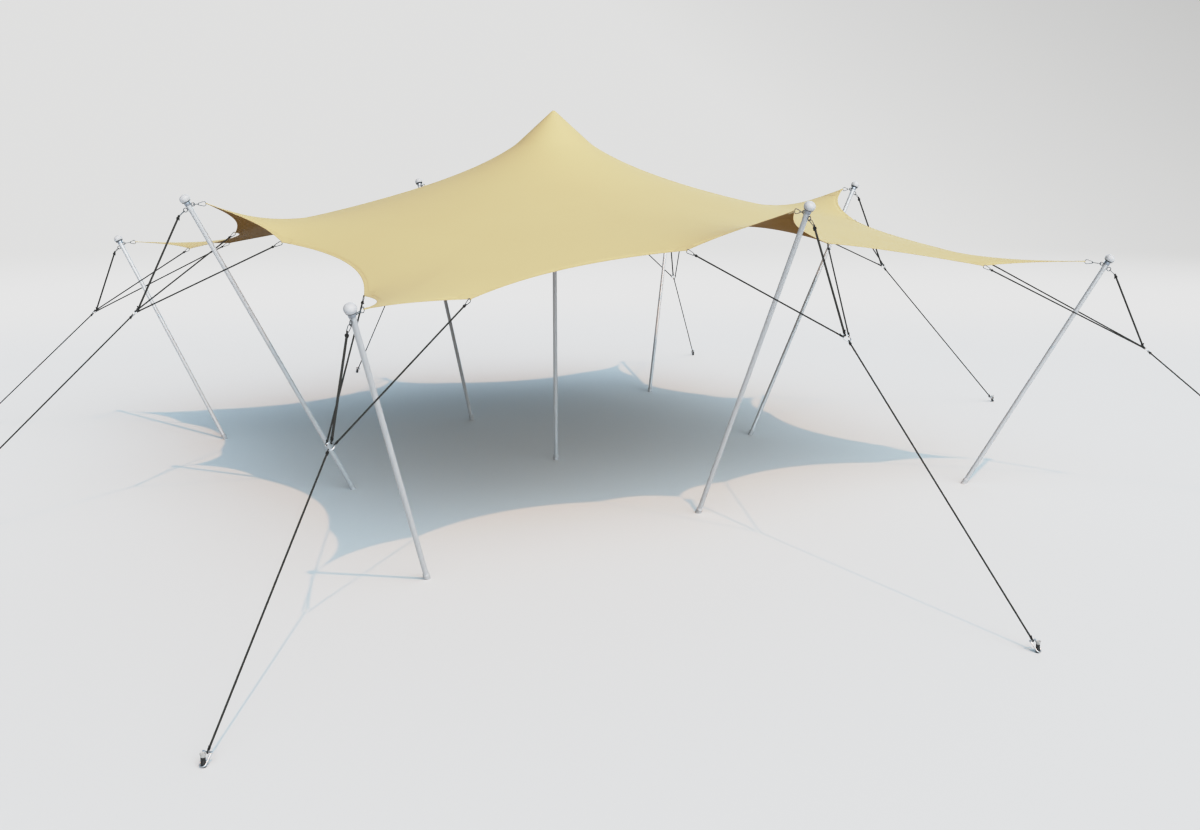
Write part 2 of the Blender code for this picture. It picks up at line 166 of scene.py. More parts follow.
def draw_ground():
    bm = bmesh.new()
    bmesh.ops.create_circle(bm, cap_ends=True, segments=96, radius=GROUND_RADIUS)
    mesh = bpy.data.meshes.new("ground")
    bm.to_mesh(mesh)
    bm.free()
    material = bpy.data.materials.new("pale_ground")
    material.use_nodes = True
    tree = material.node_tree
    tree.nodes.clear()
    place = add_node(tree, "TexCoord").outputs["Object"]
    away = add_node(tree, "VectorMath", {0: place, 1: camera.location}, operation="SUBTRACT")
    reach = add_node(tree, "VectorMath", {0: away}, operation="LENGTH")
    look = add_node(tree, "VectorMath", {0: away}, operation="NORMALIZE")
    surface = add_node(tree, "BsdfDiffuse", {"Color": GROUND_COLOUR})
    far_ground = add_node(tree, "Emission", {"Strength": FAR_GROUND_LIGHT})
    backdrop = {"Color": BACKDROP_COLOUR, "Strength": backdrop_tone(tree, look)}
    backdrop = add_node(tree, "Emission", backdrop)
    for fade, beyond in ((FAR_GROUND_FADE, far_ground), (BACKDROP_FADE, backdrop)):
        span = {"Value": reach, "From Min": fade[0], "From Max": fade[1]}
        share = add_node(tree, "MapRange", span, interpolation_type="SMOOTHSTEP")
        surface = add_node(tree, "MixShader", {0: share, 1: surface, 2: beyond})
    add_node(tree, "OutputMaterial", {"Surface": surface})
    mesh.materials.append(material)
    ground = place_object("ground", mesh)


draw_ground()

# %% [markdown]
# The shade under the tent is lightest at the front and deepest at the back left, so the sky must
# be brightest in front. Three soft lobes give that: a strong one low in front, a bluer one higher
# up on its left, and a weak bluish one low behind. A faint band of light all round the horizon
# hardly reaches the ground, but metal and caps would look black at their edges without it. The
# camera sees none of them, only the backdrop.

# %% Hang the sky
SKY_LOBES = (
    (270, 35, (4.59, 5.29, 5.65)),
    (225, 60, (0.68, 1.00, 1.28)),
    (45, 12, (1.66, 2.40, 2.90)),
)
SKY_SHARPNESS = 6
HORIZON_GLOW, HORIZON_SHARPNESS = 0.3, 8


def way(azimuth, elevation):
    """Unit vector for an azimuth from +X and an elevation, both in degrees."""
    a, e = math.radians(azimuth), math.radians(elevation)
    return (math.cos(a) * math.cos(e), math.sin(a) * math.cos(e), math.sin(e))


def hang_sky():
    world = bpy.data.worlds.new("sky")
    world.use_nodes = True
    tree = world.node_tree
    tree.nodes.clear()
    look = add_node(tree, "TexCoord").outputs["Generated"]
    lights = []
    for azimuth, elevation, light in SKY_LOBES:
        aim = {0: look, 1: way(azimuth, elevation)}
        facing = add_node(tree, "VectorMath", aim, operation="DOT_PRODUCT")
        above = add_node(tree, "Math", {0: facing, 1: 0.0}, operation="MAXIMUM")
        lobe = add_node(tree, "Math", {0: above, 1: SKY_SHARPNESS}, operation="POWER")
        lights.append(add_node(tree, "Background", {"Color": (*light, 1), "Strength": lobe}))
    height = add_node(tree, "SeparateXYZ", {0: look}).outputs["Z"]
    square = add_node(tree, "Math", {0: height, 1: height}, operation="MULTIPLY")
    low = add_node(tree, "Math", {0: 1.0, 1: square}, operation="SUBTRACT")
    band = add_node(tree, "Math", {0: low, 1: HORIZON_SHARPNESS}, operation="POWER")
    level = add_node(tree, "Math", {0: band, 1: HORIZON_GLOW}, operation="MULTIPLY")
    lights.append(add_node(tree, "Background", {"Strength": level, "Color": (1, 1, 1, 1)}))
    sky = lights[0]
    for light in lights[1:]:
        sky = add_node(tree, "AddShader", {0: sky, 1: light})
    drop = {"Color": BACKDROP_COLOUR, "Strength": backdrop_tone(tree, look)}
    drop = add_node(tree, "Background", drop)
    seen = add_node(tree, "LightPath").outputs["Is Camera Ray"]
    both = add_node(tree, "MixShader", {0: seen, 1: sky, 2: drop})
    add_node(tree, "OutputWorld", {"Surface": both})
    bpy.context.scene.world = world


hang_sky()

# %% [markdown]
# The shadow of the canopy lies a little behind it, and the thin ropes leave only a faint line.
# That asks for a sun in front, about 57 degrees up. Its disc is a little wider than the real
# one, which softens the edges of the shadows. Its warm colour makes up for the blue of the sky,
# so sunlit white stays white.

# %% Put up the sun
SUN_TRAVEL = Vector((0.06, 0.65, -1.0))
sun_data = bpy.data.lights.new("sun", "SUN")
sun_data.energy = 1.63
sun_data.color = (1.0, 0.575, 0.315)
sun_data.angle = math.radians(0.8)
sun = place_object("sun", sun_data)
sun.rotation_euler = SUN_TRAVEL.to_track_quat("-Z", "Y").to_euler()
print("sun stands", round(90 - math.degrees(SUN_TRAVEL.angle(Vector((0, 0, -1))))), "degrees up")

# %% [markdown]
# Eight stations stand round the tent: four at its corners and four at the middles of its sides.
# A station is one leaning pole with its fittings, and the four of a kind are alike. So each kind
# is drawn once, in a frame of its own, where X runs outwards, Y along the edge and Z up, and is
# then turned into its four places. The sizes say how far out each point stands, and those with _z
# how high.

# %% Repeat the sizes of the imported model
PEAK_AT, PEAK_HEIGHT = (-0.16, 0.10), 5.0
SIZES = {
    "corner": {
        "foot": 5.60, "head": 7.222, "head_z": 3.029, "tip": 6.95, "tip_z": 3.055,
        "edge": 5.67, "edge_half": 0.58, "edge_z": 3.02, "edge_seat": 0.0085,
        "ring": 7.78, "ring_z": 1.936, "stake": 10.10, "scallop": 0.095, "tip_half_angle": 9,
    },
    "side": {
        "foot": 3.32, "head": 5.274, "head_z": 3.827, "tip": 5.05, "tip_z": 3.832,
        "edge": 4.44, "edge_half": 1.00, "edge_z": 3.403, "edge_seat": 0.0052,
        "ring": 5.98, "ring_z": 2.552, "stake": 8.74, "scallop": 0.145, "tip_half_angle": 20,
    },
}
STATIONS = {
    "front": ("side", -90), "front_right": ("corner", -45), "right": ("side", 0),
    "back_right": ("corner", 45), "back": ("side", 90), "back_left": ("corner", 135),
    "left": ("side", 180), "front_left": ("corner", -135),
}
TUBE_RADIUS, FOOT_RADIUS, FOOT_LENGTH = 0.030, 0.0375, 0.075
SLEEVE_RADIUS, SLEEVE_START = 0.033, -0.090
BAND_RADIUS, BAND_START, BAND_END = 0.038, -0.010, 0.038
EYE_RADIUS, EYE_WIRE, LINK_WIRE = 0.018, 0.005, 0.004
INNER_EYE_RADIUS = EYE_RADIUS + 0.002
LINK_SMALL, LINK_BIG, HEAD_LINK_BIG = 0.012, 0.021, 0.018
TIP_SEAT = 0.004
HEAD_LINK_LENGTH, SIDE_LINK_LENGTH = 0.095, 0.100
OUTER_EYE_DROP, OUTER_EYE_RADIUS, HEAD_LINK_TURN = 0.044, 0.024, math.radians(14)
RING_RADIUS, RING_WIRE, RING_SPREAD = 0.046, 0.006, math.radians(60)
HEAD_ROPE, THIN_ROPE = 0.012, 0.0088
PEG_RADIUS, PEG_HEIGHT, PEG_CAP_RADIUS, PEG_SETBACK = 0.0190, 0.084, 0.0245, 0.006
BOW_RADIUS, BOW_WIRE, BOW_HEIGHT, BOW_SHIFT = 0.0255, 0.0056, 0.030, 0.0004
ARM_LENGTH, ARM_FLARE, PIN_RADIUS, PIN_HALF = 0.095, 0.006, 0.006, 0.042
OUT, ALONG, UP = Vector((1, 0, 0)), Vector((0, 1, 0)), Vector((0, 0, 1))


class Station:
    """The points of one kind of station, in its own frame, and the meshes drawn for it."""

    def __init__(self, sizes):
        self.sizes, self.drawn = sizes, {}
        self.foot = Vector((sizes["foot"], 0, 0))
        self.head, self.tip, self.ring = (
            Vector((sizes[name], 0, sizes[name + "_z"])) for name in ("head", "tip", "ring")
        )
        self.length = (self.head - self.foot).length
        self.axis = (self.head - self.foot).normalized()
        self.edges = [
            Vector((sizes["edge"], side * sizes["edge_half"], sizes["edge_z"])) for side in (-1, 1)
        ]
        self.bow = Vector((sizes["stake"], 0, BOW_HEIGHT))
        self.ground_pull = (self.ring - self.bow).normalized()
        self.pin = self.bow + self.ground_pull * ARM_LENGTH
        self.inner_eye = self.head - OUT * (BAND_RADIUS / self.axis.z + EYE_RADIUS)
        outward = Vector((self.axis.z, 0, -self.axis.x))
        self.outer_eye = self.head - self.axis * OUTER_EYE_DROP
        self.outer_eye += outward * (SLEEVE_RADIUS + OUTER_EYE_RADIUS + EYE_WIRE / 2)
        self.ring_top = self.ring + self.ground_pull * RING_RADIUS
        self.ring_foot = self.ring - self.ground_pull * RING_RADIUS
        self.link_pull = self.axis * math.sin(HEAD_LINK_TURN) - outward * math.cos(HEAD_LINK_TURN)


KINDS = {label: Station(sizes) for label, sizes in SIZES.items()}
for label, station in KINDS.items():
    print(label, "pole", round(station.length, 3), "m long")


def stations():
    """Name and kind of every station, and the turn that brings it to its place."""
    for name, (label, degrees) in STATIONS.items():
        yield name, KINDS[label], Matrix.Rotation(math.radians(degrees), 4, "Z")


# %% [markdown]
# Most round things here are either turned, like a cap on a lathe, or swept, like a wire along its
# path. The first is Blender's spin. For the second a ring of points is extruded again and again,
# and each new ring is put where it belongs. Both write a UV map, so that a pattern on the piece
# can be given its real size. U is the distance along the piece in metres. V goes round it: in
# metres on a turned piece, and from 0 to 1 on a swept one.

# %% Tools for turning and sweeping
def axes(origin, x, y):
    """Matrix that puts X along x, and Y as near y as a right angle allows, at origin."""
    x = x.normalized()
    z = x.cross(y).normalized()
    return Matrix.Translation(origin) @ Matrix((x, z.cross(x), z)).transposed().to_4x4()


def finished(bm, sharp=40):
    """The mesh of a bmesh, smooth except where faces meet at more than sharp degrees."""
    mesh = bpy.data.meshes.new("shape")
    bm.to_mesh(mesh)
    bm.free()
    mesh.shade_smooth()
    mesh.set_sharp_from_angle(angle=math.radians(sharp))
    return mesh


def turned(profile, start, direction, steps=48):
    """A lathe shape from (distance, radius) pairs along the line from start."""
    bm = bmesh.new()
    points = [bm.verts.new((along, radius, 0)) for along, radius in profile]
    for a, b in zip(points, points[1:]):
        bm.edges.new((a, b))
    bmesh.ops.spin(
        bm, geom=bm.verts[:] + bm.edges[:], cent=(0, 0, 0), axis=(1, 0, 0),
        angle=2 * math.pi, steps=steps, use_merge=True,
    )
    bmesh.ops.remove_doubles(bm, verts=bm.verts[:], dist=1e-6)
    bmesh.ops.recalc_face_normals(bm, faces=bm.faces[:])
    uv = bm.loops.layers.uv.new("UVMap")
    for face in bm.faces:
        middle = math.atan2(face.calc_center_median().z, face.calc_center_median().y)
        for loop in face.loops:
            place = loop.vert.co
            turn = math.atan2(place.z, place.y)
            turn += 2 * math.pi * round((middle - turn) / (2 * math.pi))
            loop[uv].uv = (place.x, turn * math.hypot(place.y, place.z))
    side = ALONG if abs(direction.normalized().dot(ALONG)) < 0.9 else UP
    bm.transform(axes(start, direction, side))
    return finished(bm)


def next_ring(bm, edges):
    """Extrude a ring of edges, and give the vertices and the edges of the new ring."""
    made = bmesh.ops.extrude_edge_only(bm, edges=edges)["geom"]
    fresh = {item for item in made if isinstance(item, bmesh.types.BMVert)}
    return fresh, [e for e in made if isinstance(e, bmesh.types.BMEdge) and set(e.verts) <= fresh]


def swept(rings, closed=False):
    """A skin over rings of points. Its ends are capped, or joined to each other if it is closed."""
    rings = np.asarray(rings)
    count, size = rings.shape[:2]
    bm = bmesh.new()
    ring_of, place_of = bm.verts.layers.int.new("ring"), bm.verts.layers.int.new("place")
    bmesh.ops.create_circle(bm, segments=size, radius=1)
    first = edges = bm.edges[:]
    for k, vert in enumerate(bm.verts):
        vert[place_of] = k
        vert.co = rings[0][k]
    for level in range(1, count):
        fresh, edges = next_ring(bm, edges)
        for vert in fresh:
            vert[ring_of] = level
            vert.co = rings[level][vert[place_of]]
    if closed:
        bmesh.ops.bridge_loops(bm, edges=first + edges)
    else:
        bmesh.ops.contextual_create(bm, geom=first)
        bmesh.ops.contextual_create(bm, geom=edges)
    centres = rings.mean(axis=1)
    if closed:
        centres = np.vstack([centres, centres[:1]])
    reach = np.concatenate([[0], np.cumsum(np.linalg.norm(np.diff(centres, axis=0), axis=1))])
    uv = bm.loops.layers.uv.new("UVMap")
    for face in bm.faces:
        levels = {loop.vert[ring_of] for loop in face.loops}
        places = {loop.vert[place_of] for loop in face.loops}
        for loop in face.loops:
            level, place = loop.vert[ring_of], loop.vert[place_of]
            if closed and level == 0 and count - 1 in levels:
                level = count
            if place == 0 and size - 1 in places:
                place = size
            loop[uv].uv = (reach[level], place / size)
    bmesh.ops.recalc_face_normals(bm, faces=bm.faces[:])
    return finished(bm)


def tube(path, radius, sides=12, closed=False):
    """A round tube along the points of path, without a twist."""
    path = np.array([tuple(p) for p in path], float)
    ahead, behind = np.roll(path, -1, axis=0), np.roll(path, 1, axis=0)
    if not closed:
        ahead[-1], behind[0] = path[-1], path[0]
    forward = ahead - behind
    forward /= np.linalg.norm(forward, axis=1)[:, None]
    side = np.cross(forward[0], (0.0, 0.0, 1.0))
    if np.linalg.norm(side) < 0.1:
        side = np.cross(forward[0], (0.0, 1.0, 0.0))
    turns = np.arange(sides)[:, None] * 2 * math.pi / sides
    rings = []
    for point, heading in zip(path, forward):
        side = side - heading * (side @ heading)
        side /= np.linalg.norm(side)
        other = np.cross(heading, side)
        rings.append(point + radius * (np.cos(turns) * side + np.sin(turns) * other))
    return swept(rings, closed)


def joined(meshes):
    """One mesh that holds several."""
    bm = bmesh.new()
    for mesh in meshes:
        bm.from_mesh(mesh)
    return finished(bm)


# %% [markdown]
# A wire's path is drawn flat, as arcs and straight legs, and then laid into its own frame. A
# turned piece starts from its profile. A few bits of profile come back again and again: a disc
# with bevelled rims, a shallow groove, and a pin with a flat round head.

# %% Outlines and profiles
def arc(radius, start, sweep, steps, along=0.0):
    """Points of an arc round (along, 0), from the angle start on."""
    turns = [start + sweep * k / steps for k in range(steps + 1)]
    return [(along + radius * math.cos(a), radius * math.sin(a)) for a in turns]


def mirrored(points):
    """The other side of an outline, in the order that continues it."""
    return [(x, -y) for x, y in points[::-1]]


def laid(frame_at, points):
    return [frame_at @ Vector((x, y, 0)) for x, y in points]


def circle(centre, x, y, radius, steps):
    return laid(axes(centre, x, y), arc(radius, 0, 2 * math.pi, steps)[:-1])


def disc(start, end, radius, bevel=0.001):
    rim = [(start, radius - bevel), (start + bevel, radius), (end - bevel, radius)]
    return [(start, 0), *rim, (end, radius - bevel), (end, 0)]


def groove(start, end, radius, depth, bevel):
    floor = radius - depth
    return [(start, radius), (start + bevel, floor), (end - bevel, floor), (end, radius)]


def headed_pin(head, thick, radius, length, taper):
    shank = [(thick, radius), (length - 0.002, radius), (length, radius - taper), (length, 0)]
    return disc(0, thick, head)[:-1] + shank


# %% [markdown]
# Each finished piece is an object at the origin with its place in its mesh, as the imported nodes
# are. It rides on the tent's only body, and the imported node that it stands for is hidden.


def fit(name, mesh, material, replaces=()):
    """A piece of the tent, in place."""
    piece = place_object(name, mesh)
    mesh.materials.append(material)
    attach(piece, "root")
    if replaces:
        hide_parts(*replaces)
    return piece


def fit_round(name, material, replaces=None):
    """The same piece at all eight stations, from the mesh that each kind has under its name."""
    faces = 0
    for place, kind, turn in stations():
        mesh = kind.drawn[name].copy()
        mesh.transform(turn)
        faces += len(mesh.polygons)
        fit(f"{place}_{name}", mesh, material, [f"{place}_{replaces}"] if replaces else [])
    print(name, "at", len(STATIONS), "stations,", faces, "faces")


# %% [markdown]
# A finish starts as one plain shader. A pattern between 0 and 1 can then vary it: between two
# tones, between two degrees of roughness, or as a relief with a strength and a height. A second
# relief lies on top of the first.

# %% Tools for finishes
def new_finish(name, colour, roughness, metallic=0.0):
    """A material with its shader set."""
    material = bpy.data.materials.new(name)
    material.use_nodes = True
    shader = material.node_tree.nodes["Principled BSDF"]
    feed(shader, {"Base Color": linear(colour), "Roughness": roughness, "Metallic": metallic})
    return material


def vary(material, pattern, tones=None, gloss=None, relief=None):
    """Let a pattern change the finish. A tone that is None is the colour that it has already."""
    tree = material.node_tree
    shader = tree.nodes["Principled BSDF"]
    if tones:
        now = shader.inputs["Base Color"].links
        low, high = (linear(tone) if tone else now[0].from_socket for tone in tones)
        tone = add_node(tree, "Mix", {0: pattern, 6: low, 7: high}, data_type="RGBA")
        feed(shader, {"Base Color": tone})
    if gloss:
        span = {"Value": pattern, "To Min": gloss[0], "To Max": gloss[1]}
        feed(shader, {"Roughness": add_node(tree, "MapRange", span)})
    if relief:
        bump = {"Height": pattern, "Strength": relief[0], "Distance": relief[1]}
        for under in shader.inputs["Normal"].links:
            bump["Normal"] = under.from_socket
        feed(shader, {"Normal": add_node(tree, "Bump", bump)})


# %% [markdown]
# The poles are anodised aluminium tube. Extruding leaves faint straight lines along the tube, and
# anodising turns the shine into a soft satin. The lines follow the tube's own UV map: long drawn
# out along the tube, and about 4 mm apart round it, which is coarser than the real ones.

# %% Anodised aluminium
def anodised_aluminium():
    material = new_finish("anodised_aluminium", "#B6B7B9", 0.44, 0.35)
    tree = material.node_tree
    place = add_node(tree, "TexCoord").outputs
    drawn = add_node(tree, "Mapping", {"Vector": place["UV"], "Scale": (0.8, 260, 1)})
    lines = add_node(tree, "TexNoise", {"Vector": drawn, "Scale": 1.0, "Detail": 3})
    vary(material, lines, gloss=(0.40, 0.48), relief=(0.02, 0.0002))
    scuffs = add_node(tree, "TexNoise", {"Vector": place["Object"], "Scale": 9, "Detail": 4})
    vary(material, scuffs, tones=("#B3B4B6", "#B9BABC"))
    return material


# %% [markdown]
# Caps and feet are moulded plastic: an even colour with a soft gloss and a very fine orange peel
# from the mould. The feet and the stakes' caps are greyer, from standing on the ground. The black
# paint of the pegs has the same soft gloss and peel.

# %% Moulded plastic
def moulded_plastic(name, colour, roughness):
    material = new_finish(name, colour, roughness)
    tree = material.node_tree
    place = add_node(tree, "TexCoord").outputs["Object"]
    peel = add_node(tree, "TexNoise", {"Vector": place, "Scale": 400, "Detail": 2})
    vary(material, peel, relief=(0.1, 0.0003))
    dust = add_node(tree, "TexNoise", {"Vector": place, "Scale": 14, "Detail": 5})
    vary(material, dust, gloss=(roughness - 0.06, roughness + 0.10))
    return material


# %% [markdown]
# Links and eyes are bent from stainless wire. The tip shackles are galvanised, which leaves a
# duller, mottled grey. The bridles' rings and the stakes' shackles have a bright plate of zinc,
# and the band of a pole's head is satin steel.

# %% Steels
def mottled_steel(name, light, dark, low_gloss, high_gloss, grain):
    """Steel whose tone and gloss wander between two values over patches of grain per metre."""
    material = new_finish(name, light, low_gloss, 1.0)
    tree = material.node_tree
    place = add_node(tree, "TexCoord").outputs["Object"]
    patches = add_node(tree, "TexNoise", {
        "Vector": place, "Scale": grain, "Detail": 5, "Roughness": 0.6,
    })
    vary(material, patches, tones=(light, dark), gloss=(low_gloss, high_gloss))
    return material


# %% [markdown]
# The ropes are braided polyester in charcoal. A braid's strands cross in diamonds, which two sine
# waves over the rope's UV map give: one winds to the left and one to the right, and whichever
# stands higher is the strand on top. The tone is painted shade: dark in the grooves between the
# strands and light on their tops. Strands of 3 mm are a little coarser than the real ones.

# %% Braided rope
def braided_rope(name, light, dark, strands, pitch):
    """Braid of that many strands a side round the rope, which repeat every pitch metres."""
    material = new_finish(name, light, 0.8)
    tree = material.node_tree
    feed(tree.nodes["Principled BSDF"], {"Specular IOR Level": 0.25})
    place = add_node(tree, "UVMap", uv_map="UVMap")
    split = add_node(tree, "SeparateXYZ", {0: place}).outputs
    along = add_node(tree, "Math", {0: split["X"], 1: 2 * math.pi / pitch}, operation="MULTIPLY")
    waves = []
    for sense in (1, -1):
        winding = {0: split["Y"], 1: sense * 2 * math.pi * strands, 2: along}
        wound = add_node(tree, "Math", winding, operation="MULTIPLY_ADD")
        waves.append(add_node(tree, "Math", {0: wound}, operation="SINE"))
    top = add_node(tree, "Math", {0: waves[0], 1: waves[1]}, operation="MAXIMUM")
    height = add_node(tree, "MapRange", {"Value": top, "From Min": -0.5, "From Max": 1.0})
    # Painted shade: the tone goes from dark in the grooves to light on the strands' tops.
    vary(material, height, tones=(dark, light), relief=(0.8, 0.0008))
    return material


# %% Mix the finishes
ALUMINIUM = anodised_aluminium()
WHITE_PLASTIC = moulded_plastic("white_moulded_plastic", "#B0B0B2", 0.50)
FOOT_PLASTIC = moulded_plastic("grey_white_moulded_foot", "#A9A9AA", 0.55)
GREY_PLASTIC = moulded_plastic("grey_moulded_stake_cap", "#9C9B99", 0.55)
STAINLESS = mottled_steel("stainless_wire", "#6F7174", "#56585B", 0.25, 0.36, 60)
GALVANISED = mottled_steel("galvanised_steel", "#74777A", "#55585B", 0.38, 0.55, 90)
SATIN_STEEL = mottled_steel("satin_steel_band", "#A9AFB7", "#9CA2AA", 0.42, 0.54, 60)
BRIGHT_ZINC = mottled_steel("bright_zinc_plate", "#CFD0D2", "#B4B6B9", 0.30, 0.42, 90)
# The pegs' black is their paint. On the head plates the same black is partly painted shade.
BLACK_PAINT_AND_PLATE_SHADE = moulded_plastic("black_paint_and_plate_shade", "#0F0F0E", 0.60)
# The darker of each pair of rope tones is painted shade in the braid's grooves.
ROPE = braided_rope("charcoal_braided_polyester", "#2C2C29", "#121211", 8, 0.016)
TWINE = braided_rope("black_whipping_twine", "#1C1C1B", "#0C0C0B", 1, 0.0016)
print(len(bpy.data.materials), "materials so far")

# %% [markdown]
# A pole is a plain tube in a moulded foot. The leaning ones are cut level where they meet the
# ground, which a bisect does: it slices the mesh with the plane of the ground, throws away what is
# below, and the open end is filled again.

# %% Poles and feet
CUT_BELOW = 0.060
FOOT_LIP = 0.004
CENTRE_TUBE_TOP = PEAK_HEIGHT - 0.095


def cut_level(mesh):
    """The part of a mesh that is above the ground, closed at the cut."""
    bm = bmesh.new()
    bm.from_mesh(mesh)
    geometry = bm.verts[:] + bm.edges[:] + bm.faces[:]
    cut = bmesh.ops.bisect_plane(
        bm, geom=geometry, plane_co=(0, 0, 0), plane_no=UP, clear_inner=True,
    )
    rim = [item for item in cut["geom_cut"] if isinstance(item, bmesh.types.BMEdge)]
    bmesh.ops.contextual_create(bm, geom=rim)
    return finished(bm)


def tube_profile(end):
    start, r = FOOT_LENGTH * 0.5, TUBE_RADIUS
    return [(start, 0), (start, r), (end - 0.002, r), (end, r - 0.002), (end, 0)]


def foot_profile(start):
    """A boot with a thick sole, two shallow grooves and a lip round the tube."""
    r, inside = FOOT_RADIUS, TUBE_RADIUS - 0.001
    low, high, lip = FOOT_LENGTH * 0.4, FOOT_LENGTH, FOOT_LENGTH + FOOT_LIP
    return [
        (start, 0), (start, r), *groove(0.020, 0.027, r, 0.0015, 0.002),
        *groove(0.042, 0.049, r, 0.0015, 0.002), (high - 0.003, r - 0.001), (high, r - 0.003),
        (lip, TUBE_RADIUS + 0.0008), (lip, inside), (low, inside), (low, 0),
    ]


for station in KINDS.values():
    profile = tube_profile(station.length + SLEEVE_START + 0.01)
    uncut_foot = turned(foot_profile(-CUT_BELOW), station.foot, station.axis)
    station.drawn["pole_tube"] = turned(profile, station.foot, station.axis)
    station.drawn["pole_foot"] = cut_level(uncut_foot)
fit_round("pole_tube", ALUMINIUM, "pole")
fit_round("pole_foot", FOOT_PLASTIC)

centre_foot = Vector((*PEAK_AT, 0))
centre_tube = turned(tube_profile(CENTRE_TUBE_TOP), centre_foot, UP)
fit("centre_pole_tube", centre_tube, ALUMINIUM, ["centre_pole"])
fit("centre_pole_foot", turned(foot_profile(0), centre_foot, UP), FOOT_PLASTIC)

# %% [markdown]
# A leaning pole ends in a fitting: a collar over the tube, and a fatter band of darker steel that
# carries the fabric's eye. The rope's eye is welded to the collar below it. On the band sit a steel
# plate, painted black, and a white cap like a door knob. The plate keeps the pole from pushing the
# cap off. Its black is partly painted shade: it stands in for the shade under the cap, where a
# head is seen from below.

# %% Pole heads
PLATE_THICK, PLATE_RADIUS = 0.006, 0.054
CAP_HEIGHT, CAP_RADIUS = 0.090, 0.0638


def cap_profile():
    """A flattened ball with a flat underside and a rounded rim."""
    bottom = BAND_END + PLATE_THICK
    waist = BAND_END + 0.40 * CAP_HEIGHT
    points = [(bottom, 0), (bottom, 0.88 * CAP_RADIUS)]
    for k in range(1, 7):
        turn = math.radians(-60 + 60 * k / 6)
        along = waist + (waist - bottom) * math.sin(turn)
        points.append((along, CAP_RADIUS * (0.78 + 0.22 * math.cos(turn))))
    for k in range(1, 15):
        turn = math.radians(90 * k / 14)
        along = waist + (BAND_END + CAP_HEIGHT - waist) * math.sin(turn)
        points.append((along, CAP_RADIUS * math.cos(turn) ** 0.93 if k < 14 else 0))
    return points


def collar_profile():
    r, start = SLEEVE_RADIUS, SLEEVE_START
    end = [(start, 0), (start, TUBE_RADIUS), (start, r - 0.001), (start + 0.001, r)]
    return end + groove(-0.036, -0.031, r, 0.001, 0.001) + [(0, r), (0, 0)]


def band_profile():
    r, start, end = BAND_RADIUS, BAND_START, BAND_END
    return [
        (start, 0), (start, r - 0.002), (start + 0.001, r - 0.001), (start + 0.003, r),
        *groove(0.006, 0.011, r, 0.001, 0.001), (0.032, r), (0.034, r - 0.0005),
        (0.036, r - 0.001), (end, r - 0.003), (end, 0),
    ]


for station in KINDS.values():
    for name, profile in (
        ("head_collar", collar_profile()), ("head_band", band_profile()),
        ("head_plate", disc(BAND_END - 0.002, BAND_END + PLATE_THICK, PLATE_RADIUS)),
        ("head_cap", cap_profile()),
    ):
        station.drawn[name] = turned(profile, station.head, station.axis)
    station.drawn["head_eyes"] = joined([
        tube(circle(station.inner_eye, OUT, UP, INNER_EYE_RADIUS, 28), EYE_WIRE, closed=True),
        tube(circle(station.outer_eye, OUT, UP, OUTER_EYE_RADIUS, 32), EYE_WIRE, closed=True),
    ])
fit_round("head_collar", ALUMINIUM, "pole_head")
fit_round("head_band", SATIN_STEEL)
# The plate's black is partly painted shade, which darkens the underside of a head seen from below.
fit_round("head_plate", BLACK_PAINT_AND_PLATE_SHADE)
fit_round("head_cap", WHITE_PLASTIC)
fit_round("head_eyes", STAINLESS)

# %% [markdown]
# The canopy's tip is tied to the inner eye with a small shackle and a big pear-shaped link. Both
# are steel wire. The shackle's pin goes through the eye, and the narrow end of the link hangs in
# the shackle's bow. The link stands upright, so its wide end takes the fabric's rope loop.

# %% Tip links
SHACKLE_HALF, SHACKLE_WIRE = 0.0105, 0.0042
TIP_LINK_LENGTH, TIP_LINK_SMALL, TIP_LINK_BIG = 0.098, 0.013, 0.027
SHACKLE_EAR = [(-0.004, 0), (-0.004, 0.006), (0.004, 0.006), (0.004, 0)]


def link(start, end, lateral, small=LINK_SMALL, big=LINK_BIG):
    """A pear-shaped link of bent wire, from the tip of its small end to the tip of its big end."""
    length = (end - start).length
    slope = math.asin((big - small) / (length - small - big))
    points = arc(small, math.pi / 2 + slope, math.pi - 2 * slope, 9, small)
    points += arc(big, -math.pi / 2 - slope, math.pi + 2 * slope, 13, length - big)
    return tube(laid(axes(start, end - start, lateral), points), LINK_WIRE, closed=True)


for station in KINDS.values():
    half, wire = SHACKLE_HALF, SHACKLE_WIRE
    pin_at = station.inner_eye - OUT * (INNER_EYE_RADIUS - EYE_WIRE - wire)
    pull = (station.tip - pin_at).normalized()
    station.tip_pull, station.tip_lateral = pull, pull.cross(ALONG).normalized()
    start, end = station.tip - pull * (TIP_SEAT + TIP_LINK_LENGTH), station.tip - pull * TIP_SEAT
    leg = (start - pin_at).length - half + wire + LINK_WIRE
    arm = [(-0.002, half), (0.012, half)]
    outline = arm + arc(half, math.pi / 2, -math.pi, 14, leg) + mirrored(arm)
    pin = headed_pin(0.0065, 0.004, wire, 4 * wire + 2 * half + 0.002, 0.001)
    station.drawn["tip_shackle"] = joined([
        tube(laid(axes(pin_at, pull, ALONG), outline), wire, 10),
        *(turned(SHACKLE_EAR, pin_at + ALONG * side * half, ALONG, 20) for side in (-1, 1)),
        turned(pin, pin_at - ALONG * (half + 2 * wire + 0.002), ALONG, 20),
    ])
    station.drawn["tip_link"] = link(start, end, station.tip_lateral, TIP_LINK_SMALL, TIP_LINK_BIG)
fit_round("tip_shackle", GALVANISED)
fit_round("tip_link", STAINLESS)

# %% [markdown]
# Where a rope takes hold of a ring or a link, its end goes round the wire and is spliced back into
# itself. Half of the strands make each side of the eye, so the eye's legs are thinner than the
# rope, and the place where they meet is a little thicker, most of all at a rope's upper end. It is
# bound with black twine, and the last of the strands sticks out as a short tail.

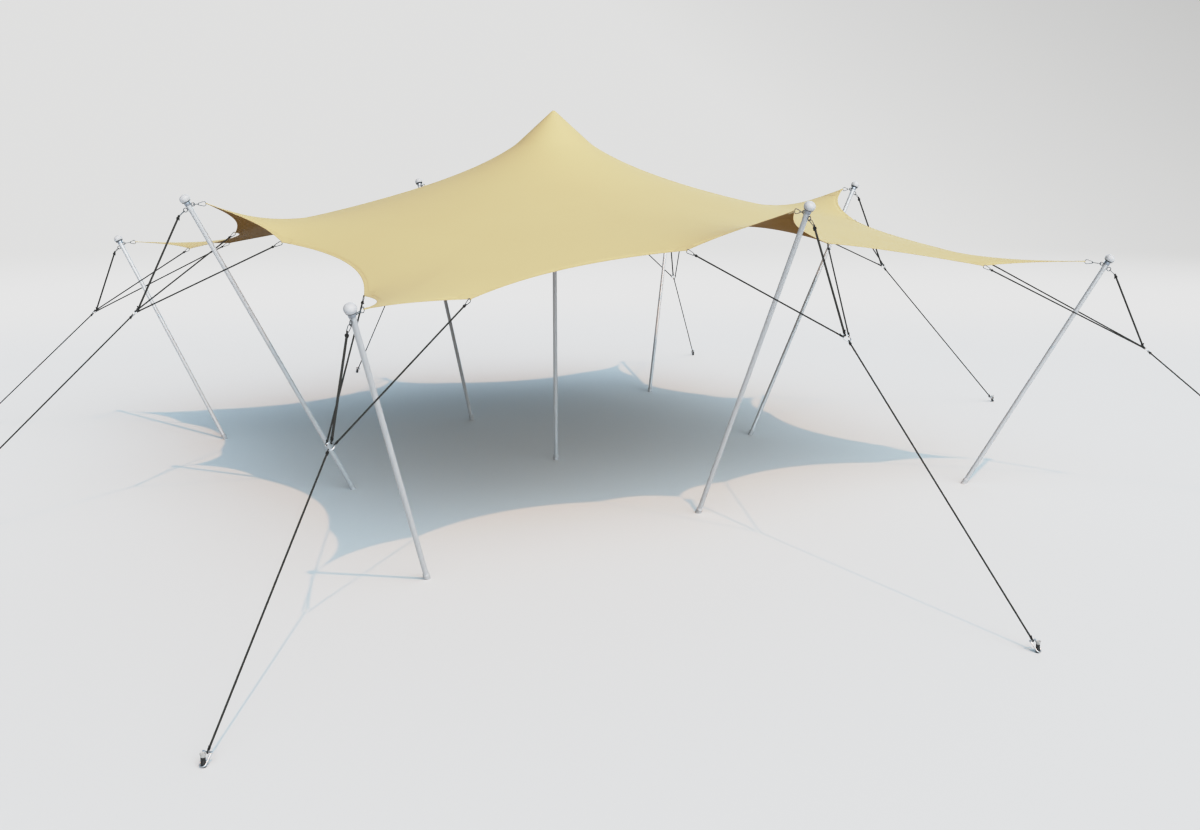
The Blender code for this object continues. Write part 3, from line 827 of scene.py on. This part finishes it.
# %% Ropes with a spliced eye at each end
EYE_SHARE, THROAT, WHIP_LENGTH, TAIL = 0.55, 0.4, 0.024, 0.018
WHIP_TURN, TWINE_RELIEF = 0.0036, 0.0006
LOW_SWELL, HIGH_SWELL = 0.15, 0.65


class Eye:
    """A rope's eye round a wire at centre. The rope leaves along pull, the wire along lateral."""

    def __init__(self, centre, pull, lateral, wire, rope, swell=LOW_SWELL):
        self.rope, self.thin, self.swell = rope, rope * EYE_SHARE, swell
        self.frame = axes(centre, pull, pull.cross(lateral))
        self.loop = wire + self.thin
        self.neck = self.loop + THROAT * rope
        self.end = self.neck + WHIP_LENGTH

    def strands(self):
        """Both legs of the eye and the loop round the wire."""
        legs = [(self.neck + 0.010, self.thin * 0.8), (self.neck, self.thin * 0.8)]
        path = legs + arc(self.loop, math.radians(118), math.radians(124), 12) + mirrored(legs)
        return tube(laid(self.frame, path), self.thin, 10)

    def whipping(self):
        """Turns of twine over the splice, thickest in its middle, and the tail beside it."""
        rings, count = [], 2 + 2 * int(WHIP_LENGTH / WHIP_TURN)
        for k, along in enumerate(np.linspace(self.neck - 0.001, self.end + 0.001, count)):
            swell = self.swell * math.sin(math.pi * (k + 1) / (count + 1)) ** 0.5
            radius = self.rope * (1.05 + swell) + TWINE_RELIEF * (k % 2)
            section = arc(radius, 0, 2 * math.pi, 16)[:-1]
            rings.append([tuple(self.frame @ Vector((along, y, z))) for y, z in section])
        tail = [
            (self.end - 0.014, -self.rope * 0.7), (self.end - 0.004, -self.rope * 1.5),
            (self.end - 0.014 + TAIL, -self.rope * 2.1),
        ]
        return [swept(rings), tube(laid(self.frame, tail), self.thin, 8)]

    def start(self):
        return self.frame @ Vector((self.neck + 0.004, 0, 0))


def rope_between(low, high, sides, whips):
    """A taut rope from one eye to another. Its whippings are added to whips."""
    a, b = low.start(), high.start()
    whips += low.whipping() + high.whipping()
    return [tube([a, a.lerp(b, 0.5), b], low.rope, sides), low.strands(), high.strands()]


for station in KINDS.values():
    whips = []
    ring = circle(station.ring, station.ground_pull, ALONG, RING_RADIUS, 56)
    station.drawn["bridle_ring"] = tube(ring, RING_WIRE, 16, closed=True)

    far = station.outer_eye - station.link_pull * (OUTER_EYE_RADIUS - EYE_WIRE - LINK_WIRE)
    near = far - station.link_pull * HEAD_LINK_LENGTH
    pull = (near - station.ring_top).normalized()
    links = [link(near, far, ALONG, LINK_SMALL, HEAD_LINK_BIG)]
    low = Eye(station.ring_top, pull, ALONG, RING_WIRE, HEAD_ROPE)
    high = Eye(near, -pull, ALONG, LINK_WIRE, HEAD_ROPE, HIGH_SWELL)
    station.drawn["head_rope"] = joined(rope_between(low, high, 16, whips))

    ring_frame = axes(station.ring, station.ground_pull, ALONG)
    pair, station.edge_ends = [], []
    for side, edge in zip((-1, 1), station.edges):
        turn = side * RING_SPREAD
        around = Vector((math.cos(turn), math.sin(turn), 0))
        leave = ring_frame @ (RING_RADIUS * around)
        tangent = ring_frame.to_3x3() @ Vector((-around.y, around.x, 0))
        pull = (edge - leave).normalized()
        lateral = pull.cross(UP).cross(pull).normalized()
        far = edge - pull * station.sizes["edge_seat"]
        near = far - pull * SIDE_LINK_LENGTH
        links.append(link(near, far, lateral))
        station.edge_ends.append((far, lateral, edge))
        low = Eye(leave, pull, tangent, RING_WIRE, THIN_ROPE)
        high = Eye(near, -pull, lateral, LINK_WIRE, THIN_ROPE, HIGH_SWELL)
        pair += rope_between(low, high, 12, whips)
    station.drawn["side_ropes"] = joined(pair)
    station.drawn["bridle_links"] = joined(links)

    low = Eye(station.pin, station.ground_pull, ALONG, PIN_RADIUS, THIN_ROPE)
    high = Eye(station.ring_foot, -station.ground_pull, ALONG, RING_WIRE, THIN_ROPE, HIGH_SWELL)
    station.drawn["ground_rope_line"] = joined(rope_between(low, high, 12, whips))
    station.drawn["whippings"] = joined(whips)
fit_round("bridle_ring", BRIGHT_ZINC, "bridle")
fit_round("bridle_links", STAINLESS)
fit_round("head_rope", ROPE)
fit_round("side_ropes", ROPE)
fit_round("ground_rope_line", ROPE, "ground_rope")
fit_round("whippings", TWINE)

# %% [markdown]
# The stake is a steel peg, painted black, with a pale plastic cap that keeps people from tripping
# over its end. A bright bow shackle goes round it. Its two arms end in flat eyes, and a pin
# through them carries the rope. Peg, cap, eyes and pin are turned, and the bow is swept. The bow
# leans with the rope, so from above it is an oval, and the peg stands a little back in it.

# %% Stakes
def peg_profile():
    h, r = PEG_HEIGHT, PEG_RADIUS
    return [
        (0, 0), (0, r), *groove(0.052, 0.060, r, 0.0012, 0.002), (h - 0.007, r),
        (h - 0.004, r - 0.001), (h - 0.001, r - 0.004), (h, r - 0.008), (h, 0),
    ]


def peg_cap_profile():
    """A cup over the peg's end that widens upwards and is hollow on top."""
    h, r, c = PEG_HEIGHT, PEG_RADIUS, PEG_CAP_RADIUS
    return [
        (h - 0.003, 0), (h - 0.003, r - 0.0005), (h - 0.002, r + 0.0005), (h + 0.006, r + 0.001),
        (h + 0.018, c - 0.001), (h + 0.024, c), (h + 0.027, c - 0.001), (h + 0.028, c - 0.003),
        (h + 0.026, c - 0.006), (h + 0.018, c - 0.011), (h + 0.016, 0),
    ]


STAKE_EAR = disc(-0.0055, 0.0055, 0.0115)
for station in KINDS.values():
    peg_foot = Vector((station.bow.x - PEG_SETBACK, 0, 0))
    station.drawn["stake_peg"] = turned(peg_profile(), peg_foot, UP)
    station.drawn["stake_cap"] = turned(peg_cap_profile(), peg_foot, UP)
    pull = station.ground_pull
    reach, wide = ARM_LENGTH + BOW_SHIFT, BOW_RADIUS + ARM_FLARE
    shares = (1.0, 0.85, 0.7, 0.5, 0.3, 0.12)
    arm = [(reach * share, BOW_RADIUS + ARM_FLARE * share ** 2) for share in shares]
    outline = arm + arc(BOW_RADIUS, math.pi / 2, math.pi, 20) + mirrored(arm)
    bow_frame = axes(station.bow - pull * BOW_SHIFT, pull, ALONG)
    pin = headed_pin(0.010, 0.006, PIN_RADIUS, 2 * PIN_HALF, 0.002)
    station.drawn["stake_shackle"] = joined([
        tube(laid(bow_frame, outline), BOW_WIRE, 14),
        *(turned(STAKE_EAR, station.pin + ALONG * side * wide, ALONG, 28) for side in (-1, 1)),
        turned(pin, station.pin - ALONG * PIN_HALF, ALONG, 24),
    ])
fit_round("stake_peg", BLACK_PAINT_AND_PLATE_SHADE, "stake")
fit_round("stake_cap", GREY_PLASTIC)
fit_round("stake_shackle", BRIGHT_ZINC)

# %% [markdown]
# The canopy is the heart of the tent, and no flat panels would do for it. Its shape is found as a
# tent maker finds it. Seen from above, its points lie on straight rays from the peak to the rim.
# Their heights are those of a net in tension: every point stands at the weighted mean of its
# neighbours. The pull is a little stronger towards the peak, and a belt in the edge pulls along
# the scallops. That is one set of linear equations. Round the peak the fabric is doubled and
# hardly stretches, so the rings there are given: a plain cone with a soft crease at its foot,
# where the single fabric begins to flare.

# %% Find the canopy's shape
CONE_RADIUS, CONE_SLOPE, CONE_STEPS, FLARE = 0.525, 0.90, (0.4, 0.85, 1.0), 0.65
LONG_SCALLOP, LONG_EDGE_PULL, SHORT_EDGE_PULL = 0.12, 2.5, 3.4
TIP_STEPS, LONG_STEPS, FREE_RINGS, RING_CROWDING = 4, 7, 18, 1.6
CAP_PROFILE = ((0.018, 0.0042), (0.032, 0.0160))


def rim_of_canopy():
    """Points round the rim, whether each is held, and the pull of the edge that follows it."""
    held = []
    for _, kind, turn in stations():
        near, far = (turn @ edge for edge in kind.edges)
        short = (TIP_STEPS, kind.sizes["scallop"], SHORT_EDGE_PULL)
        held += [(near, *short), (turn @ kind.tip, *short)]
        held.append((far, LONG_STEPS, LONG_SCALLOP, LONG_EDGE_PULL))
    points, is_held, belts = [], [], []
    for (start, steps, depth, belt), (end, *_) in zip(held, held[1:] + held[:1]):
        span = end - start
        inward = Vector((-span.y, span.x, 0))
        for k in range(steps):
            along = k / steps
            points.append(start + span * along + inward * depth * 4 * along * (1 - along))
            is_held.append(k == 0)
            belts.append(belt)
    return np.array(points), np.array(is_held), np.array(belts)


def canopy_rings():
    """Rings of points from the pole cap out to the rim, and which points of the rim are held."""
    rim, is_held, belts = rim_of_canopy()
    columns = len(rim)
    peak = np.array([*PEAK_AT, PEAK_HEIGHT])
    ray = rim[:, :2] - peak[:2]
    ray /= np.linalg.norm(ray, axis=1)[:, None]
    profile = list(CAP_PROFILE)
    start, start_drop = CAP_PROFILE[-1]
    for share in CONE_STEPS:
        radius = start + (CONE_RADIUS - start) * share
        profile.append((radius, start_drop + CONE_SLOPE * (radius - start)))
    rings = [peak + np.c_[ray * radius, np.full(columns, -drop)] for radius, drop in profile]
    cone_foot = rings[-1]
    for step in range(1, FREE_RINGS + 1):
        share = (step / FREE_RINGS) ** RING_CROWDING
        rings.append(cone_foot + (rim - cone_foot) * share)
    points = np.vstack([peak[None]] + rings)
    plan = points[:, :2]
    fixed = np.zeros(len(points), bool)
    fixed[: 1 + len(profile) * columns] = True
    fixed[-columns:] = is_held

    k = np.arange(columns)
    following = (k + 1) % columns
    triangles = [np.c_[np.zeros(columns, int), 1 + k, 1 + following]]
    for ring in range(1, len(rings)):
        inner, outer = 1 + (ring - 1) * columns, 1 + ring * columns
        triangles.append(np.c_[inner + k, outer + k, outer + following])
        triangles.append(np.c_[inner + k, outer + following, inner + following])
    corners = np.vstack(triangles)
    reach = np.linalg.norm(plan[corners].mean(axis=1) - peak[:2], axis=1) / CONE_RADIUS
    stress = reach ** (FLARE - 1)
    pull = np.zeros((len(points), len(points)))
    for a, b, c in ((0, 1, 2), (1, 2, 0), (2, 0, 1)):
        i, j = corners[:, a], corners[:, b]
        u, v = plan[i] - plan[corners[:, c]], plan[j] - plan[corners[:, c]]
        share = 0.5 * stress * (u * v).sum(axis=1) / abs(u[:, 0] * v[:, 1] - u[:, 1] * v[:, 0])
        np.add.at(pull, (i, j), share)
        np.add.at(pull, (j, i), share)
    last = len(points) - columns
    i, j = last + k, last + following
    share = belts / np.linalg.norm(plan[i] - plan[j], axis=1)
    pull[i, j] += share
    pull[j, i] += share
    balance = np.diag(pull.sum(axis=1)) - pull
    free = ~fixed
    load = -balance[np.ix_(free, fixed)] @ points[fixed, 2]
    points[free, 2] = np.linalg.solve(balance[np.ix_(free, free)], load)
    return points[1:].reshape(len(rings), columns, 3), is_held


canopy_net, rim_held = canopy_rings()
print("net of", canopy_net.shape[0], "rings and", canopy_net.shape[1], "rays")

# %% [markdown]
# The net becomes a mesh ring by ring: a fan of triangles at the peak, and then one extrude for
# each ring. A subdivision surface rounds it. The 24 points that are held would be rounded off
# too, so each gets a full crease.

# %% Draw the canopy's skin
def canopy_skin():
    """The rounded middle surface of the fabric, as a mesh without thickness."""
    bm = bmesh.new()
    column_of = bm.verts.layers.int.new("column")
    crease = bm.verts.layers.float.new("crease_vert")
    columns = canopy_net.shape[1]
    bmesh.ops.create_circle(bm, cap_ends=True, cap_tris=True, segments=columns, radius=1)
    centre = min(bm.verts, key=lambda vert: vert.co.length)
    around = [vert for vert in bm.verts if vert is not centre]
    around.sort(key=lambda vert: math.atan2(vert.co.y, vert.co.x))
    centre.co = (*PEAK_AT, PEAK_HEIGHT)
    for k, vert in enumerate(around):
        vert[column_of] = k
        vert.co = canopy_net[0][k]
    edges = [edge for edge in bm.edges if edge.is_boundary]
    for ring in canopy_net[1:]:
        fresh, edges = next_ring(bm, edges)
        for vert in fresh:
            vert.co = ring[vert[column_of]]
    for vert in fresh:
        vert[crease] = 1.0 if rim_held[vert[column_of]] else 0.0
    bmesh.ops.recalc_face_normals(bm, faces=bm.faces[:])
    if sum(face.normal.z for face in bm.faces) < 0:
        bmesh.ops.reverse_faces(bm, faces=bm.faces[:])
    holder = place_object("skin", finished(bm, 180))
    rounding = holder.modifiers.new("rounding", "SUBSURF")
    rounding.levels = rounding.render_levels = 2
    bpy.context.view_layer.update()
    rounded = holder.evaluated_get(bpy.context.evaluated_depsgraph_get())
    skin = bpy.data.meshes.new_from_object(rounded)
    bpy.data.objects.remove(holder, do_unlink=True)
    return skin


skin = canopy_skin()

# %% [markdown]
# The fabric is a stretch knit of polyester with a waterproof coat: sand-coloured on top, brown
# underneath, and matt. The knit's ribs are about 1 mm apart. That is far too fine to show, so they
# are drawn 8 mm apart and very shallow. A slow drift in tone keeps the large sheet from looking
# like paint.

# %% Coated knit
RIB_SPACING = 0.008


def coated_knit(name, light, dark):
    material = new_finish(name, light, 0.82)
    tree = material.node_tree
    feed(tree.nodes["Principled BSDF"], {"Specular IOR Level": 0.2})
    place = add_node(tree, "TexCoord").outputs["Object"]
    drift = add_node(tree, "TexNoise", {"Vector": place, "Scale": 0.9, "Detail": 4})
    vary(material, drift, tones=(dark, light))
    scale = 2 * math.pi / (20 * RIB_SPACING)
    ribs = add_node(tree, "TexWave", {"Vector": place, "Scale": scale, "Distortion": 0.4})
    fuzz = add_node(tree, "TexNoise", {"Vector": place, "Scale": 160, "Detail": 2})
    rough = add_node(tree, "Math", {0: ribs.outputs["Fac"], 1: fuzz}, operation="ADD")
    vary(material, rough, relief=(0.12, 0.001))
    return material


SAND_KNIT = coated_knit("sand_coated_knit", "#BBA97D", "#B7A479")
BROWN_KNIT = coated_knit("brown_coated_knit", "#7D5920", "#78551E")

# %% [markdown]
# The sheet gets its thickness from a Solidify modifier, which also gives the underside the second
# material. Real fabric of this kind is about 1 mm thick. It is cut a little smaller than it hangs,
# because the fabric is stretched.

# %% Hang the canopy
FABRIC_THICKNESS = 0.0015

canopy = fit("canopy_sheet", skin.copy(), SAND_KNIT, ["canopy"])
canopy.data.materials.append(BROWN_KNIT)
thick = canopy.modifiers.new("thickness", "SOLIDIFY")
thick.thickness = FABRIC_THICKNESS
thick.offset = 0
thick.material_offset = 1

# %% [markdown]
# Sewn edges show rows of stitches. A stitch of real thread is 3 mm long and would vanish at this
# distance, so these are drawn 9 mm long. The rows follow the UV map of the piece: for the hem, U
# is the length along the edge and V goes across it. For a patch, the map is a plan of the patch
# with its radius as 1, so the rows are two arcs beside its outline.

# %% Fabric with stitches
HEM_ROWS, HEM_ROW_HALF, STITCH_LENGTH = (0.34, 0.38, 0.80, 0.76), 0.004, 0.009
PATCH_ROWS, PATCH_ROW_HALF, STITCHES_ROUND = (0.94, 0.86), 0.009, 70


def sewn_knit(name, light, dark, thread, round_patch=False):
    material = coated_knit(name, light, dark)
    tree = material.node_tree
    place = add_node(tree, "UVMap", uv_map="UVMap")
    split = add_node(tree, "SeparateXYZ", {0: place}).outputs
    if round_patch:
        across = add_node(tree, "VectorMath", {0: place}, operation="LENGTH")
        on = add_node(tree, "Math", {0: split["Y"], 1: split["X"]}, operation="ARCTAN2")
        rows, half, rate = PATCH_ROWS, PATCH_ROW_HALF, STITCHES_ROUND
    else:
        across, on = split["Y"], split["X"]
        rows, half, rate = HEM_ROWS, HEM_ROW_HALF, 2 * math.pi / STITCH_LENGTH
    along = add_node(tree, "Math", {0: on, 1: rate}, operation="MULTIPLY")
    wave = add_node(tree, "Math", {0: along}, operation="SINE")
    dash = add_node(tree, "Math", {0: wave, 1: -0.4}, operation="GREATER_THAN")
    lines = None
    for row in rows:
        line = add_node(tree, "Math", {0: across, 1: row, 2: half}, operation="COMPARE")
        if lines:
            line = add_node(tree, "Math", {0: lines, 1: line}, operation="MAXIMUM")
        lines = line
    stitch = add_node(tree, "Math", {0: lines, 1: dash}, operation="MULTIPLY")
    vary(material, stitch, tones=(None, thread), relief=(0.6, 0.001))
    return material


SAND_SEWN, BROWN_SEWN = ("#B9A77C", "#B5A277", "#A4926A"), ("#7A561F", "#75521D", "#664616")
SAND_HEM = sewn_knit("sand_hem", *SAND_SEWN)
BROWN_HEM = sewn_knit("brown_hem", *BROWN_SEWN)
SAND_PATCH = sewn_knit("sand_patch", *SAND_SEWN, True)
BROWN_PATCH = sewn_knit("brown_patch", *BROWN_SEWN, True)


def fit_sewn(name, mesh, above, below):
    """A piece sewn to the canopy, with a second material on the faces that look down."""
    piece = fit(name, mesh, above)
    mesh.materials.append(below)
    for face in mesh.polygons:
        face.material_index = int(face.normal.z < -0.5)
    return piece


# %% [markdown]
# The edge is folded over and sewn down to a hem 35 mm wide, with a strap inside it. It is swept
# along the rim: a flat oval section, pushed inwards from the edge. Near a sharp tip the two hems
# would run into each other, so there each is narrowed to its own half.

# %% Sew the hem
HEM_WIDTH, HEM_HALF = 0.035, 0.0021
HEM_TOP = [(-0.0008, 0.6), (0.001, 1.0), (0.5, 1.0), (0.94, 1.0), (1.0, 0.6)]
HEM_SECTION = [(-0.0015, 0.0)] + HEM_TOP + mirrored(HEM_TOP)


def rim_loop(mesh):
    """The rim's vertices in order, anticlockwise from above: positions and surface normals."""
    bm = bmesh.new()
    bm.from_mesh(mesh)
    bm.normal_update()
    start = next(edge for edge in bm.edges if edge.is_boundary)
    loop = start.link_loops[0]
    verts = [loop.vert, loop.link_loop_next.vert]
    while verts[-1] is not verts[0]:
        rim_edges = [edge for edge in verts[-1].link_edges if edge.is_boundary]
        onward = [edge.other_vert(verts[-1]) for edge in rim_edges]
        verts.append(next(vert for vert in onward if vert is not verts[-2]))
    verts.pop()
    points = [v.co.copy() for v in verts]
    normals = [v.normal.copy() for v in verts]
    bm.free()
    return points, normals


def hem_rings(points, normals):
    outwards = [Vector(way(degrees, 0)) for _, degrees in STATIONS.values()]
    rings = []
    for k, (point, normal) in enumerate(zip(points, normals)):
        way_on = (points[(k + 1) % len(points)] - points[k - 1]).normalized()
        inward = normal.cross(way_on).normalized()
        outward = max(outwards, key=lambda a: a.dot(point))
        sideways = UP.cross(outward)
        room = abs(point.dot(sideways)) / max(abs(inward.dot(sideways)), 1e-3)
        width = min(HEM_WIDTH, max(0.96 * room, 0.003))
        ring = []
        for across, height in HEM_SECTION:
            across = across * width if across > 0.01 else across
            ring.append(tuple(point + inward * across + normal * height * HEM_HALF))
        rings.append(ring)
    return rings


rim_points, rim_normals = rim_loop(skin)
hem_mesh = swept(hem_rings(rim_points, rim_normals), closed=True)
hem = fit_sewn("canopy_hem", hem_mesh, SAND_HEM, BROWN_HEM)
perimeter = sum((a - b).length for a, b in zip(rim_points, rim_points[1:] + rim_points[:1]))
print("hem", round(perimeter, 2), "m long,", len(hem.data.polygons), "faces")

# %% [markdown]
# Every place where the fabric is held gets a second layer on both sides: half-round patches on
# the edge, and larger fans at the tips. A patch is cut from a copy of the canopy itself, so it
# follows the canopy's curve. Twelve bisects round the held point give it its outline, and
# Solidify gives it its thickness.

# %% Sew on the patches
EDGE_PATCH, TIP_PATCH, PATCH_THICKNESS = 0.13, 0.30, 0.0054
PATCH_SIDES = 12
SKIN_TREE = BVHTree.FromPolygons(
    [v.co.copy() for v in skin.vertices], [tuple(f.vertices) for f in skin.polygons],
)


def surface(point):
    """The nearest point of the canopy's middle surface, and its upward normal there."""
    place, normal, *_ = SKIN_TREE.find_nearest(point)
    return place, normal if normal.z > 0 else -normal


def patch(point, outward, radius):
    place, normal = surface(point)
    x = (outward - normal * outward.dot(normal)).normalized()
    y = normal.cross(x)
    bm = bmesh.new()
    bm.from_mesh(skin)
    kept = radius * 1.3 + 0.15
    far = [face for face in bm.faces if (face.calc_center_median() - place).length > kept]
    bmesh.ops.delete(bm, geom=far, context="FACES")
    for k in range(PATCH_SIDES):
        turn = 2 * math.pi * (k + 0.5) / PATCH_SIDES
        side = x * math.cos(turn) + y * math.sin(turn)
        geometry = bm.verts[:] + bm.edges[:] + bm.faces[:]
        bmesh.ops.bisect_plane(
            bm, geom=geometry, plane_co=place + side * radius, plane_no=side, clear_outer=True,
        )
    uv = bm.loops.layers.uv.new("UVMap")
    for face in bm.faces:
        for corner in face.loops:
            away = corner.vert.co - place
            corner[uv].uv = (away.dot(x) / radius, away.dot(y) / radius)
    bm.normal_update()
    lift = {vert: vert.normal * PATCH_THICKNESS / 2 for vert in bm.verts}
    for vert, shift in lift.items():
        vert.co += shift
    bmesh.ops.solidify(bm, geom=bm.faces[:], thickness=PATCH_THICKNESS)
    return finished(bm, 30)


cut_patches = []
for _, kind, turn in stations():
    outward = turn.to_3x3() @ OUT
    cut_patches.append(patch(turn @ kind.tip, outward, TIP_PATCH))
    cut_patches += [patch(turn @ edge, outward, EDGE_PATCH) for edge in kind.edges]
patches = fit_sewn("canopy_patches", joined(cut_patches), SAND_PATCH, BROWN_PATCH)
print(len(cut_patches), "patches,", len(patches.data.polygons), "faces")

# %% [markdown]
# A loop of cord joins each link to the fabric. It goes round the link's wire, and its two legs run
# between the layers of the patch, where they are sewn in. At the tips the fabric is hardly wider
# than the cord. There a tapered boot of the same fabric holds cord and fabric together.

# %% Tie the canopy to its links
LOOP_CORD, LEG_LENGTH = 0.0035, 0.060
BOOT_LENGTH, BOOT_START, BOOT_GRIP = 0.110, 0.006, 0.012
BOOT_WIDE, BOOT_HIGH, BOOT_FLATTENING = 0.0125, 0.0062, 0.0024


def fabric_loop(wire_at, lateral, point, outward):
    """A cord round the wire at wire_at, with its legs laid into the fabric behind point."""
    place, normal = surface(point)
    pull = (place - wire_at).normalized()
    side = lateral.cross(pull).normalized()
    reach = LINK_WIRE + LOOP_CORD
    bend = [wire_at + pull * x + side * y for x, y in arc(reach, math.pi / 2, math.pi, 8)]
    legs = []
    for sense in (1, -1):
        beside = (side - normal * side.dot(normal)).normalized() * reach * sense
        inner, _ = surface(place - outward * LEG_LENGTH)
        middle = place.lerp(inner, 0.4)
        legs.append([place + beside * 0.9, middle + beside * 0.7, inner + beside * 0.7])
    return tube(legs[0][::-1] + bend + legs[1], LOOP_CORD, 10)


def boot(tip, outward, half_angle):
    """A sleeve over the fabric's tip. It widens with the fabric and flattens towards its end."""
    across = UP.cross(outward)
    start, start_normal = surface(tip)
    rings = []
    for share in (0, 0.02, 0.1, 0.3, 0.55, 0.8, 0.98, 1):
        back = BOOT_LENGTH * share
        middle, normal = start - outward * (back - BOOT_START), start_normal
        if back > BOOT_GRIP:
            middle, normal = surface(tip - outward * back)
        wide = BOOT_WIDE + math.tan(half_angle) * back
        high = BOOT_HIGH - BOOT_FLATTENING * share
        if share in (0, 1):
            wide, high = wide - 0.002, high * 0.6
        ring = []
        for c, n in arc(1, 0, 2 * math.pi, 20)[:-1]:
            aside = across * (wide * np.sign(c) * abs(c) ** 0.6)
            ring.append(tuple(middle + aside + normal * (high * np.sign(n) * abs(n) ** 0.7)))
        rings.append(ring)
    return swept(rings)


loops, boots = [], []
for _, kind, turn in stations():
    spin = turn.to_3x3()
    outward = spin @ OUT
    tip_end = (kind.tip - kind.tip_pull * TIP_SEAT, kind.tip_lateral, kind.tip)
    for wire_at, lateral, point in [tip_end] + kind.edge_ends:
        loops.append(fabric_loop(turn @ wire_at, spin @ lateral, turn @ point, outward))
    boots.append(boot(turn @ kind.tip, outward, math.radians(kind.sizes["tip_half_angle"])))
fabric_loops = fit("canopy_loops", joined(loops), SAND_KNIT)
tip_boots = fit("canopy_boots", joined(boots), SAND_HEM)
print(len(loops), "loops and", len(boots), "boots")

# %% [markdown]
# The centre pole has a small mushroom cap. The peak of the canopy lies on it.

CENTRE_CAP_HEIGHT, CENTRE_CAP_DROP = 0.090, 0.0046
centre_cap = [(0, 0), (0, 0.033), (0.030, 0.033), (0.034, 0.040), (0.054, 0.040)]
centre_cap += [(0.062, 0.0385), (0.068, 0.036)]
centre_cap += [(CENTRE_CAP_HEIGHT - drop, radius) for radius, drop in reversed(CAP_PROFILE)]
centre_cap.append((CENTRE_CAP_HEIGHT, 0))
cap_foot = Vector((*PEAK_AT, PEAK_HEIGHT - CENTRE_CAP_DROP - CENTRE_CAP_HEIGHT))
fit("centre_cap", turned(centre_cap, cap_foot, UP), WHITE_PLASTIC, ["centre_pole_cap"])
